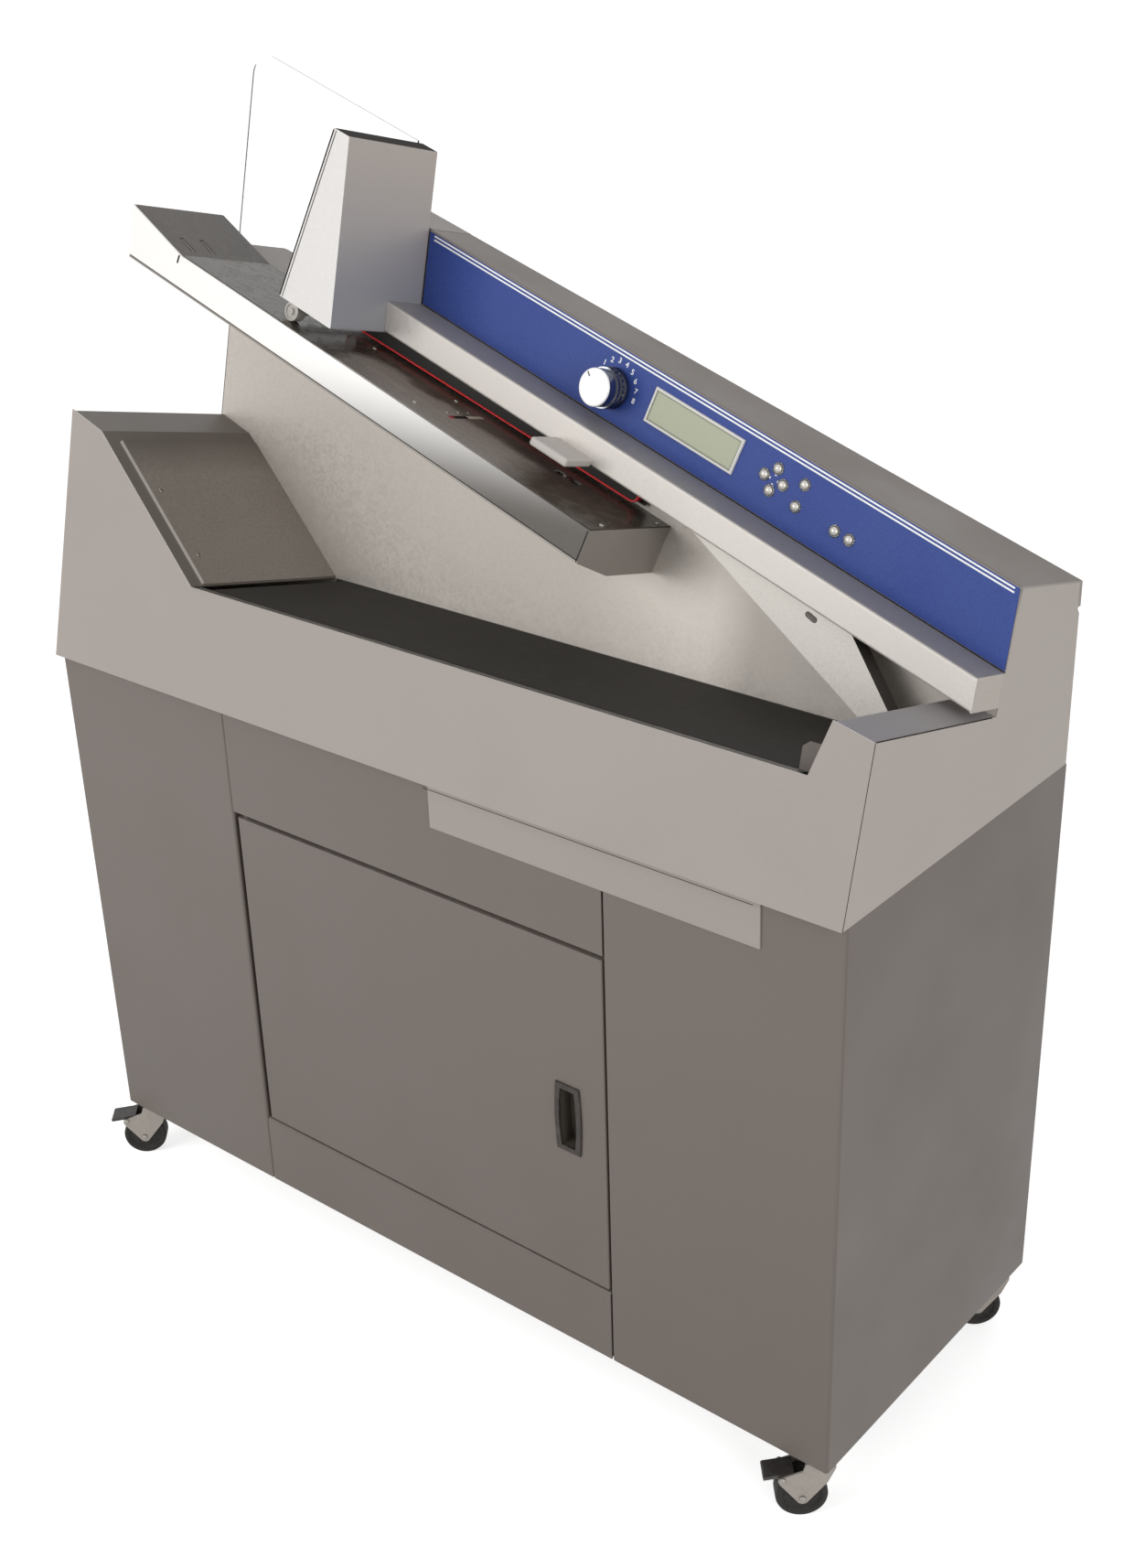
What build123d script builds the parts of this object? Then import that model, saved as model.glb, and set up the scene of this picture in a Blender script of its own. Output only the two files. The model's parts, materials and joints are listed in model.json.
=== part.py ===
from build123d import *
import os
from math import atan, atan2, cos, degrees, hypot, pi, radians, sin, tan

# Floor-standing electric letter opener: a steel cabinet on four swivel casters, with a
# leaning upper housing that carries the feeder deck, the belt drive, the milling cutter,
# a hinged control cover and the stacker trough. All sizes are in millimetres.

# ---------------------------------------------------------------- driving dimensions
# casters
caster_height = 88.0
wheel_radius = 31.0
wheel_width = 25.0
caster_lead = 20.0          # how far the wheel trails its swivel
caster_turn = 41.5          # degrees, how far the casters are swivelled
caster_inset_x = 28.0
caster_inset_y = 26.4
axle_height_drop = 8.5      # the fork's tip reaches this far below the axle
fork_plate = 2.5
fork_gap = 1.5              # wheel face to fork leg
kingpin_radius = 6.0
raceway_radius = 20.0
raceway_height = 5.0
socket_radius = 10.0
socket_height = 28.0
axle_radius = 3.0
brake_pin_radius = 2.0
brake_pin_reach = 23.5      # brake pin behind and above the axle
brake_pin_rise = 29.0
pedal_length = 36.0
pedal_thickness = 5.0

# cabinet
cabinet_width = 1219.2
cabinet_depth = 463.3
cabinet_height = 715.5
sheet = 2.0                 # steel sheet of the casings
bend = 4.0                  # outer radius of a fold
left_seam = -298.3
right_seam = 300.0
seam_gap = 0.8
jamb_depth = 30.0
kick_height = 102.0
floor_flange = 25.0
door_left = -290.5
door_right = 297.9
door_bottom = 107.0         # above the cabinet's underside
door_top = cabinet_height - 148.6
door_depth = 18.0
header_bottom = cabinet_height - 144.5
hinge_inset = 8.0           # door pivot, from the door's left edge and from its face
pivot_radius = 3.0
pivot_length = 12.0
running_fit = 0.05
handle_x = 243.0
handle_z = 333.0            # above the cabinet's underside
handle_width = 40.0
handle_length = 94.0
handle_bulge = 2.5
handle_rim = 5.0
handle_proud = 2.5
handle_depth = 22.0
handle_wall = 2.0
part_gap = 0.25
skirt_left = 50.0
skirt_right = 508.0
skirt_drop = 58.0           # how far the skirt plate hangs below the cabinet's top
skirt_overlap = 9.0         # how far the skirt plate rises above the cabinet's top

# upper housing, which leans back
lean = 14.44                # degrees
apron_forward = 11.9        # apron foot in front of the cabinet's face
apron_drop = 2.6            # foot line below the cabinet's top
apron_foot = 3.5
wall_depth = 254.0          # apron to back wall, measured square to the apron
left_top = 326.7
left_shoulder_x = -cabinet_width / 2 + 58.3
left_shoulder = 307.9
ramp_foot_x = -cabinet_width / 2 + 248.1
trough_level = 146.1
trough_end_x = cabinet_width / 2 - 66.6
right_shoulder_x = cabinet_width / 2 - 48.9
right_shoulder = 206.6
right_top = 196.3
skin = 2.0                  # steel sheet of the upper housing

# stacker
belt_front = 17.0
belt_back = wall_depth - 4.5
belt_thickness = 2.5
stacker_roller_radius = 16.0
stacker_left_x = -cabinet_width / 2 + 272.6
stacker_right_x = cabinet_width / 2 - 95.6
stacker_shaft_radius = 6.0
stacker_rail = 2.0
stacker_rail_height = 46.0
bed_gap = 0.3
ramp_thickness = 1.5
ramp_front = 21.0
ramp_lip = 4.0
ramp_length = 231.0
ramp_start = 2.0

# sloping feeder and rail
incline = 17.35             # degrees, down to the right
deck_end_x = 163.6
deck_end_z = 313.0
deck_front = 100.5
deck_lip = 41.0
deck_depth = 60.0
deck_chamfer_y = wall_depth - 88.0
deck_bend_s = -738.0
deck_tip_s = -853.0
deck_tip_rise = 23.0
deck_left_x = -cabinet_width / 2 - 32.1
liner = 1.2                 # polished deck plate
liner_inset = 3.0
rail_front = wall_depth - 61.0
rail_bottom = 30.8
rail_top = 66.4
rail_lip = 15.0
cover_bottom = 67.4
cover_top = 154.0
cover_fold = 2.0            # outer radius of the control cover's folds
swing_gap = 1.3             # side sheet to the swinging cover
cover_left_x = -261.0
tower_left_x = -355.6
tower_top_left_x = -290.3
tower_right_x = -263.0
tower_front = 99.1
tower_bottom = 29.4
tower_top = 241.8
acrylic_thickness = 3.0
acrylic_top = 241.5
acrylic_corner = 25.0
acrylic_foot = 25.0         # part of the acrylic plate behind the back wall
acrylic_right_x = -300.0
section_left_x = -355.0     # fixed left section of the rear housing
section_gap = 2.2
hinge_drop = 30.0           # control cover's hinge below its top edge
hinge_depth = 5.0           # control cover's hinge in front of the rear face
knuckle_radius = 4.0
knuckle_length = 20.0
hinge_pin_radius = 2.0
hinge_places = (-150.0, 170.0, 490.0)

# belt drive, cutter and feeder wheel
belt_start_s = -525.0
belt_start_y = wall_depth - 36.0
belt_skew = 2.2             # degrees, the belt draws the envelopes towards the wall
belt_run = 470.0
belt_width = 10.0
red_belt_thickness = 2.0
pulley_radius = 8.0
pulley_level = 15.5
pulley_shaft_radius = 3.0
web_thickness = 2.5
flange_bottom = 26.0
cutter_s = -125.0
cutter_level = -15.0
cutter_radius = 17.5
cutter_front = wall_depth - 57.0
cutter_width = 8.0
cutter_teeth = 14
cutter_shaft_radius = 4.0
motor_radius = 30.0
motor_length = 84.0
motor_flange = 64.0
motor_flange_thickness = 4.0
guard_left_s = -155.5
guard_right_s = -96.0
guard_front = 147.0
guard_bottom = 28.0
guard_top = 38.5
wheel_s = -545.0
feed_wheel_radius = 11.7
feed_wheel_front = 119.0
feed_wheel_width = 14.0
feed_shaft_radius = 4.0

# controls on the front of the hinged cover
panel_thickness = 1.0
panel_margin = 0.8
display_s = -21.4
display_n = 113.4
display_width = 137.0
display_height = 43.0
display_thickness = 3.0
knob_s = -147.3
knob_n = 105.2
knob_radius = 24.0
knob_face_radius = 22.5
knob_depth = 38.0
knob_pointer_angle = 139.9
knob_stem_radius = 4.0
button_radius = 5.2
button_height = 5.0
button_travel = 1.0
button_stem_radius = 3.5
button_places = {
    "up": (100.1, 126.5),
    "left": (86.5, 113.0),
    "right": (113.7, 113.0),
    "down": (100.1, 99.7),
    "cancel": (139.1, 126.5),
    "enter": (139.1, 99.7),
    "start": (196.0, 99.7),
    "stop": (216.7, 99.7),
}

# triangular deflector plate under the rail
deflector_front = wall_depth - 48.1
deflector_top_left_x = 215.0
deflector_top_right_x = 446.0
deflector_foot_left_x = 502.0
deflector_foot_right_x = 535.0
deflector_foot = 150.0
deflector_slot_x = 401.7
deflector_slot_z = 258.0

# things inside the cabinet
bin_width = 300.0
bin_depth = 240.0
bin_height = 230.0
bin_wall = 2.5
supply_x = 470.0
supply_width = 160.0
supply_height = 220.0
supply_depth = 70.0
tray_thickness = 3.0
inlet_width = 48.0
inlet_height = 28.0
inlet_depth = 14.0
inlet_level = 120.0         # above the cabinet's underside
supply_rise = 90.0          # supply box above the tray's lower edge
board_height = 178.0
board_inset = 12.0          # board below the tray's upper edge

# screws that show
screw_head_radius = 3.2
screw_head_height = 1.6
screw_shank_radius = 1.5
screw_hole_radius = 1.6
screw_length = 7.0
deck_screws = ((-472.8, 205.0), (-318.2, 127.2), (-324.4, 208.0), (-8.5, 131.0), (-8.5, 237.0))
ramp_screws = ((150.3, 40.4), (47.1, 40.4))
slot_s = -279.5
slot_front = 149.0
slot_back = wall_depth - 43.0
slot_width = 8.0
vent_pitch = 7.0
vent_count = 8
vent_radius = 1.7
vent_s = (-434.4, -426.5)
vent_front = 130.0
feed_slot_s = -764.0
feed_slot_length = 30.0
feed_slot_width = 7.0
feed_slot_y = (129.0, 163.0)

# ---------------------------------------------------------------- derived places
half_w = cabinet_width / 2
half_d = cabinet_depth / 2
base = caster_height
cabinet_top = base + cabinet_height
apron_y = -half_d - apron_forward
apron_z = cabinet_top - apron_drop
cover_front = wall_depth + 1.0
acrylic_front = wall_depth + skin
section_front = acrylic_front + acrylic_thickness + 0.2
lean_sin = sin(radians(lean))
lean_cos = cos(radians(lean))
slope_sin = sin(radians(incline))
slope_cos = cos(radians(incline))

# The housing frame: X along the apron, Y square to it towards the back, Z up the apron.
housing = Location((0, apron_y, apron_z), (-lean, 0, 0))
# The slope frame: X down along the feeder, Y as above, Z square to the feeder deck.
slope = housing * Location((deck_end_x, 0, deck_end_z), (0, incline, 0))
far = 1500.0


def z_on_slope(x, n):
    """Height in the housing frame of a plane n above the deck, at x."""
    return deck_end_z + (n - (x - deck_end_x) * slope_sin) / slope_cos


def world_z(x, y, n):
    """Height above the floor of the plane n above the deck, at x and y of the cabinet."""
    return apron_z + (z_on_slope(x, n) - lean_sin * (y - apron_y)) / lean_cos


def slope_x(s, n):
    """Cabinet x of a point s along and n above the deck."""
    return deck_end_x + s * slope_cos + n * slope_sin


# The hinge frame: X along the control cover's hinge, which is level in depth.
hinge_tilt = degrees(atan(tan(radians(incline)) / lean_cos))
hinge_y = half_d - hinge_depth
hinge_z = world_z(0, half_d, cover_top) - hinge_drop
hinge = Location((0, hinge_y, hinge_z), (0, hinge_tilt, 0))


# ---------------------------------------------------------------- building helpers
def block(x0, x1, y0, y1, z0, z1):
    """A box between two corners."""
    return Pos(x0, y0, z0) * Box(x1 - x0, y1 - y0, z1 - z0, align=(Align.MIN,) * 3)


def slab_x(points, x0, x1):
    """A plate with a (y, z) outline, from x0 to x1."""
    face = Plane.YZ.offset(x0) * make_face(Polyline(*points, close=True))
    return extrude(face, amount=x1 - x0)


def slab_y(points, y0, y1):
    """A plate with an (x, z) outline, from y0 to y1."""
    face = Plane.XZ.offset(-y0) * make_face(Polyline(*points, close=True))
    return extrude(face, amount=-(y1 - y0))


def rod_y(x, y0, y1, z, radius):
    """A round bar along Y."""
    face = Plane.XZ.offset(-y0) * (Pos(x, z) * Circle(radius))
    return extrude(face, amount=-(y1 - y0))


def rod_z(x, y, z0, z1, radius):
    """A round bar along Z."""
    return Pos(x, y, z0) * Cylinder(radius, z1 - z0, align=(Align.CENTER, Align.CENTER, Align.MIN))


def rod_x(x0, x1, y, z, radius):
    """A round bar along X."""
    face = Plane.YZ.offset(x0) * (Pos(y, z) * Circle(radius))
    return extrude(face, amount=x1 - x0)


def shifted(points, distance):
    """An open line moved to the left of its travel, with mitred corners."""
    units = []
    for (ax, ay), (bx, by) in zip(points, points[1:]):
        span = hypot(bx - ax, by - ay)
        units.append(((bx - ax) / span, (by - ay) / span))
    moved = []
    for i, (x, y) in enumerate(points):
        before = units[max(i - 1, 0)]
        after = units[min(i, len(units) - 1)]
        nx, ny = -(before[1] + after[1]), before[0] + after[0]
        scale = distance / (1 + before[0] * after[0] + before[1] * after[1])
        moved.append((x + nx * scale, y + ny * scale))
    return moved


def rounded_line(points, radii):
    """An open line with an arc of its own radius at each corner."""
    if len(points) == 2:
        return Line(points[0], points[1])
    return FilletPolyline(*points, radius=radii)


def folded(points, thickness, radius):
    """The section of a folded sheet whose skin lies to the left of the outer line."""
    skin_radii = []
    inner_radii = []
    for a, b, c in zip(points, points[1:], points[2:]):
        left_turn = (b[0] - a[0]) * (c[1] - b[1]) - (b[1] - a[1]) * (c[0] - b[0]) > 0
        skin_radii.append(radius if left_turn else radius - thickness)
        inner_radii.append(radius - thickness if left_turn else radius)
    inner = shifted(points, thickness)
    sides = [
        rounded_line(points, skin_radii),
        Line(points[-1], inner[-1]),
        rounded_line(inner, inner_radii),
        Line(inner[0], points[0]),
    ]
    return make_face(Curve() + sides)


def folded_x(points, thickness, radius, x0, x1):
    """A folded sheet along X, with its section in (y, z)."""
    return extrude(Plane.YZ.offset(x0) * folded(points, thickness, radius), amount=x1 - x0)


def folded_y(points, thickness, radius, y0, y1):
    """A folded sheet along Y, with its section in (x, z)."""
    return extrude(Plane.XZ.offset(-y0) * folded(points, thickness, radius), amount=-(y1 - y0))


def folded_z(points, thickness, radius, z0, z1):
    """A folded sheet along Z, with its section in (x, y)."""
    return extrude(Plane.XY.offset(z0) * folded(points, thickness, radius), amount=z1 - z0)


def between_x(shape, x0, x1):
    """The part of a shape that lies between two cabinet x planes."""
    return shape & block(x0, x1, -far, far, -far, 2 * far)


def behind_limit(shape, y1):
    """The part of a shape in front of a cabinet y plane."""
    return shape & block(-far, far, -far, y1, -far, 2 * far)


def above_cabinet(shape):
    """The part of a shape that stands above the cabinet's top."""
    return shape & block(-far, far, -far, far, cabinet_top, 3 * far)


def rounded_box(x0, x1, y0, y1, z0, z1, radius):
    """A box with all its edges rounded."""
    solid = block(x0, x1, y0, y1, z0, z1)
    return fillet(solid.edges(), radius)


# ---------------------------------------------------------------- casters
def wheel_middle(x_sign, y_sign):
    """Swivel axis of a caster."""
    return x_sign * (half_w - caster_inset_x), y_sign * (half_d - caster_inset_y)


leg_inner = wheel_width / 2 + fork_gap
leg_outer = leg_inner + fork_plate
fork_top = base - raceway_height - 0.3
brake_pin_x = -caster_lead - brake_pin_reach
brake_pin_z = wheel_radius + brake_pin_rise
pedal_hub_radius = 4.5


def caster_fork(with_brake):
    """Pressed steel fork with its kingpin and axle, about a swivel axis at x = y = 0."""
    tip = wheel_radius - axle_height_drop
    outline = [
        (18, fork_top),
        (-17, fork_top),
        (-20, fork_top - 11),
        (brake_pin_x - 4, brake_pin_z + 1.5),
        (brake_pin_x - 5, brake_pin_z - 3),
        (brake_pin_x - 3, brake_pin_z - 7),
        (-caster_lead - 4, tip + 1.5),
        (-caster_lead + 0.5, tip),
        (-caster_lead + 5, tip + 1.5),
        (9, fork_top - 28),
        (18, fork_top - 7),
    ]
    leg = slab_y(outline, leg_inner, leg_outer)
    legs = leg + slab_y(outline, -leg_outer, -leg_inner)
    crown = block(-17, 18, -leg_outer, leg_outer, fork_top - 3, fork_top)
    kingpin = rod_z(0, 0, fork_top, base + socket_height - 4, kingpin_radius)
    axle = rod_y(-caster_lead, -leg_outer - 1.5, leg_outer + 1.5, wheel_radius, axle_radius)
    fork = legs + crown + kingpin + axle
    if with_brake:
        fork += rod_y(brake_pin_x, -leg_outer - 1.2, leg_outer + 1.2, brake_pin_z, brake_pin_radius)
    return fork


def caster_wheel():
    """Moulded wheel with a crowned tread and dished faces, at its place under the swivel."""
    half = wheel_width / 2
    profile = [
        (axle_radius + running_fit, -half),
        (8, -half),
        (10, -half + 3),
        (wheel_radius - 9, -half + 3),
        (wheel_radius - 6, -half),
        (wheel_radius - 2, -half),
        (wheel_radius, -half + 4),
        (wheel_radius, half - 4),
        (wheel_radius - 2, half),
        (wheel_radius - 6, half),
        (wheel_radius - 9, half - 3),
        (10, half - 3),
        (8, half),
        (axle_radius + running_fit, half),
    ]
    face = make_face(Polyline(*profile, close=True))
    wheel = revolve(face, Axis.Y)
    return Pos(-caster_lead, 0, wheel_radius) * wheel


def brake_pedal():
    """Foot pedal that turns on the fork's rear pin, with its hub between the legs."""
    inner = leg_inner - 0.4
    hub = rod_y(brake_pin_x, -inner, inner, brake_pin_z, pedal_hub_radius)
    right = brake_pin_x + 0.37 * pedal_length
    left = right - pedal_length
    rise = 0.125 * pedal_length
    top = brake_pin_z + 8.0
    outline = [
        (right, top),
        (left + 2, top - rise),
        (left, top - rise - 2),
        (left + 1, top - rise - pedal_thickness),
        (brake_pin_x - 4, brake_pin_z + 1),
        (brake_pin_x + 4, brake_pin_z),
        (right, top - pedal_thickness),
    ]
    plate = slab_y(outline, -inner, inner)
    bore = rod_y(brake_pin_x, -far, far, brake_pin_z, brake_pin_radius + running_fit)
    return hub + plate - bore


# ---------------------------------------------------------------- cabinet
def cabinet_floor():
    """Floor pan with upturned flanges, caster raceways and welded kingpin sockets."""
    inside_w = half_w - sheet
    inside_d = half_d - sheet
    pan = block(-inside_w, inside_w, -inside_d, inside_d, base, base + floor_flange)
    pan = fillet(pan.edges().filter_by(Axis.Z), bend)
    well = block(
        -inside_w + sheet,
        inside_w - sheet,
        -inside_d + sheet,
        inside_d - sheet,
        base + sheet,
        base + floor_flange,
    )
    pan -= well
    for x_sign in (-1, 1):
        for y_sign in (-1, 1):
            x, y = wheel_middle(x_sign, y_sign)
            pan += rod_z(x, y, base - raceway_height, base + sheet, raceway_radius)
            pan += rod_z(x, y, base, base + socket_height, socket_radius)
            pan -= rod_z(x, y, 0, base + socket_height - 2, kingpin_radius + running_fit)
    jamb_back = -half_d + jamb_depth + part_gap
    for x0, x1 in ((left_seam - sheet, left_seam), (right_seam, right_seam + sheet)):
        notch = bend / 2 + part_gap
        pan -= block(x0 - notch, x1 + notch, -half_d, jamb_back, base - 1, base + floor_flange + 1)
    return pan


def cabinet_left_pillar():
    """Left casing: side, front and door jamb in one folded sheet."""
    line = [
        (-half_w, half_d - sheet),
        (-half_w, -half_d),
        (left_seam, -half_d),
        (left_seam, -half_d + jamb_depth),
    ]
    return folded_z(line, sheet, bend, base, cabinet_top - sheet)


def cabinet_right_pillar():
    """Right casing: door jamb, front and side in one folded sheet."""
    line = [
        (right_seam, -half_d + jamb_depth),
        (right_seam, -half_d),
        (half_w, -half_d),
        (half_w, half_d - sheet),
    ]
    return folded_z(line, sheet, bend, base, cabinet_top - sheet)


def cabinet_rear_panel():
    """Flat rear panel with two rows of cooling slots and the mains inlet's cut-out."""
    panel = block(-half_w, half_w, half_d - sheet, half_d, base, cabinet_top - sheet)
    slot_pitch = 16.0
    slot_count = 9
    for row_z in (base + 0.62 * cabinet_height, base + 0.80 * cabinet_height):
        for i in range(slot_count):
            x = supply_x + (i - (slot_count - 1) / 2) * slot_pitch
            panel -= block(x - 2.5, x + 2.5, half_d - 2 * sheet, half_d + sheet, row_z, row_z + 60)
    half_inlet = inlet_width / 2 - 4
    inlet_z = base + inlet_level
    panel -= block(
        supply_x - half_inlet - part_gap,
        supply_x + half_inlet + part_gap,
        half_d - 2 * sheet,
        half_d + sheet,
        inlet_z - inlet_height / 2 + 4 - part_gap,
        inlet_z + inlet_height / 2 - 4 + part_gap,
    )
    return panel


def cabinet_top_plate():
    """Flat plate that closes the cabinet and carries the upper housing."""
    return block(-half_w, half_w, -half_d, half_d, cabinet_top - sheet, cabinet_top)


def front_top_panel():
    """Panel above the door, with a bottom flange that holds the upper pivot."""
    low = base + header_bottom
    line = [(-half_d, cabinet_top - sheet), (-half_d, low), (-half_d + door_depth, low)]
    panel = folded_x(line, sheet, bend, left_seam + seam_gap, right_seam - seam_gap)
    hole = rod_z(pivot_x, pivot_y, low - 1, low + sheet + 1, pivot_radius + running_fit)
    return panel - hole


def kick_panel():
    """Panel under the door, with a top flange that holds the lower pivot."""
    high = base + kick_height
    line = [(-half_d + door_depth, high), (-half_d, high), (-half_d, base)]
    panel = folded_x(line, sheet, bend, left_seam + seam_gap, right_seam - seam_gap)
    hole = rod_z(pivot_x, pivot_y, high - sheet - 1, high + 1, pivot_radius + running_fit)
    return panel - hole


pivot_x = door_left + hinge_inset
pivot_y = -half_d + hinge_inset


def handle_outline(grow):
    """Barrel-shaped outline of the recessed handle, in (x, z) about its middle."""
    w = handle_width / 2 - handle_bulge + grow
    h = handle_length / 2 + grow
    b = handle_width / 2 + grow
    sides = [
        Line((-w, -h), (w, -h)),
        ThreePointArc((w, -h), (b, 0), (w, h)),
        Line((w, h), (-w, h)),
        ThreePointArc((-w, h), (-b, 0), (-w, -h)),
    ]
    return make_face(Curve() + sides)


def handle_prism(grow, y0, y1):
    """The handle's outline from depth y0 to y1, at its place in the door."""
    face = Plane.XZ.offset(-y0) * (Pos(handle_x, base + handle_z) * handle_outline(grow))
    return extrude(face, amount=-(y1 - y0))


def door():
    """Folded door tray with pivot holes and the handle's cut-out."""
    front = -half_d
    back = -half_d + door_depth
    low = base + door_bottom
    high = base + door_top
    tray = block(door_left, door_right, front, back, low, high)
    tray = fillet(tray.edges().filter_by(Axis.Z).group_by(Axis.Y)[0], bend / 2)
    tray -= block(
        door_left + sheet, door_right - sheet, front + sheet, back + sheet, low + sheet, high - sheet
    )
    tray -= rod_z(pivot_x, pivot_y, low - 1, high + 1, pivot_radius + running_fit)
    tray -= handle_prism(-handle_rim + part_gap, front - sheet, front + 2 * sheet)
    return tray


def door_handle():
    """Black moulded pull: a raised rim and a deep cup to hook the fingers into."""
    face_y = -half_d
    rim = handle_prism(0, face_y - handle_proud, face_y)
    cup = handle_prism(-handle_rim, face_y, face_y + handle_depth)
    hollow = handle_prism(
        -handle_rim - handle_wall, face_y - handle_proud - 1, face_y + handle_depth - handle_wall
    )
    solid = rim + cup
    solid = fillet(solid.edges().group_by(Axis.Y)[0], 1.2)
    return solid - hollow


def skirt_plate():
    """Flat apron plate screwed to the cabinet's face behind the upper housing."""
    return block(
        skirt_left,
        skirt_right,
        -half_d - sheet,
        -half_d,
        cabinet_top - skirt_drop,
        cabinet_top + skirt_overlap,
    )


# ---------------------------------------------------------------- upper housing
def front_apron():
    """Flat front sheet whose top edge steps from the left shoulder down to the trough."""
    outline = [
        (-half_w, apron_foot),
        (-half_w, left_top),
        (left_shoulder_x, left_shoulder),
        (ramp_foot_x, trough_level),
        (trough_end_x, trough_level),
        (right_shoulder_x, right_shoulder),
        (half_w, right_top),
        (half_w, apron_foot),
    ]
    return housing * slab_y(outline, 0, skin)


def side_outline(front_top, rear_top):
    """Side sheet in (y, z) of the housing frame: low in front, high behind the wall."""
    return [
        (skin, -far / 10),
        (skin, front_top),
        (wall_depth + 0.2, front_top),
        (wall_depth + 0.2, rear_top),
        (far / 2, rear_top),
        (far / 2, -far / 10),
    ]


def left_end_cover():
    """Left end: side sheet, shoulder and ramp frame."""
    line = [
        (ramp_foot_x, trough_level),
        (left_shoulder_x, left_shoulder),
        (-half_w, left_top),
        (-half_w, -far / 10),
    ]
    top = housing * folded_y(line, skin, bend, skin, wall_depth)
    side = housing * slab_x(side_outline(left_top, far / 2), -half_w, -half_w + skin)
    side &= slope * block(-far, far, -far, far, -far, 0)
    side = behind_limit(side, half_d - skin)
    low_side = housing * block(-far, far, -far, wall_depth + 0.2, left_top - bend, far)
    side -= low_side
    cover = above_cabinet(top + side)
    for along, y in ramp_screws:
        cover -= ramp_point(along, y) * rod_z(0, 0, -5, 5, screw_hole_radius)
    return cover


def right_side_panel():
    """Right side sheet: runs from the apron's corner to the rear face, under the cover."""
    side = housing * slab_x(side_outline(right_top, far / 2), half_w - skin, half_w)
    side &= slope * block(-far, far, -far, far, -far, cover_top - skin)
    side -= housing * block(-far, far, wall_depth - 1, cover_front + skin, z_on_slope(half_w, rail_top), far)
    side = behind_limit(side, half_d - skin)
    swing = cover_swing_radius()
    side -= hinge * (block(-far, far, -far, 0, swing * lean_sin, far) - rod_x(-far, far, 0, 0, swing))
    side -= hinge * block(-far, far, -1, far, -hinge_depth - 1.5, far)
    return above_cabinet(side)


def cover_swing_radius():
    """How near the opening cover's front sheet comes to its hinge at the right end."""
    end_z = hinge_z - half_w * tan(radians(hinge_tilt))
    depth = (hinge_y - apron_y) * lean_cos - (end_z - apron_z) * lean_sin
    return depth - cover_front - skin - swing_gap


def right_end_shelf():
    """Right end of the trough: a sloping shelf, the trough's end wall and a front gusset."""
    line = [
        (half_w - skin, right_top + 0.2),
        (right_shoulder_x, right_shoulder),
        (trough_end_x, trough_level),
        (trough_end_x - 3, trough_level - 10),
    ]
    shelf = folded_y(line, skin, bend, skin, wall_depth)
    gusset = slab_y(
        [
            (trough_end_x - 19, trough_level),
            (trough_end_x - 19, trough_level + 24),
            (trough_end_x - 12, trough_level + 30),
            (trough_end_x + 8.5, trough_level + 30),
            (trough_end_x + 0.5, trough_level),
        ],
        belt_front - 2.6,
        belt_front - 0.6,
    )
    return housing * (shelf + gusset)


ramp_angle = degrees(atan2(left_shoulder - trough_level, left_shoulder_x - ramp_foot_x))


def ramp_point(along, y):
    """A place on the ramp: distance up from its foot, and depth; Z stands off the ramp."""
    turn = 180 - ramp_angle
    return housing * Location((ramp_foot_x, 0, trough_level), (0, turn, 0)) * Location((-along, y, 0))


def ramp_plate():
    """Polished plate on the ramp, with a small upstand along its front edge."""
    plate = block(-ramp_length, -ramp_start, ramp_front, wall_depth, 0, ramp_thickness)
    lip = block(-ramp_length, -ramp_start, ramp_front, ramp_front + ramp_thickness, 0, ramp_lip)
    solid = plate + lip
    placed = ramp_point(0, 0) * solid
    for along, y in ramp_screws:
        placed -= ramp_point(along, y) * rod_z(0, 0, -5, 9, screw_hole_radius)
    return placed


def back_wall():
    """Flat sheet behind the trough and the feeder; its top steps up behind the tower."""
    tower_l = tower_left_x + 3
    tower_r = tower_right_x - 3
    outline = [
        (-half_w + skin, -far / 10),
        (-half_w + skin, z_on_slope(-half_w + skin, 0)),
        (tower_l, z_on_slope(tower_l, 0)),
        (tower_l, z_on_slope(tower_l, tower_bottom + 6)),
        (tower_top_left_x + 3, z_on_slope(tower_top_left_x + 3, tower_top - 8)),
        (tower_r, z_on_slope(tower_r, tower_top - 8)),
        (tower_r, z_on_slope(tower_r, rail_top - 0.5)),
        (half_w - skin, z_on_slope(half_w - skin, rail_top - 0.5)),
        (half_w - skin, -far / 10),
    ]
    wall = housing * slab_y(outline, wall_depth, wall_depth + skin)
    wall = above_cabinet(wall)
    wall -= slope * rod_y(wheel_s, 0, far, feed_wheel_level, feed_shaft_radius + running_fit)
    wall -= slope * rod_y(cutter_s, 0, far, cutter_level, cutter_shaft_radius + 1)
    return wall


feed_wheel_level = liner + feed_wheel_radius + 0.3


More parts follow.
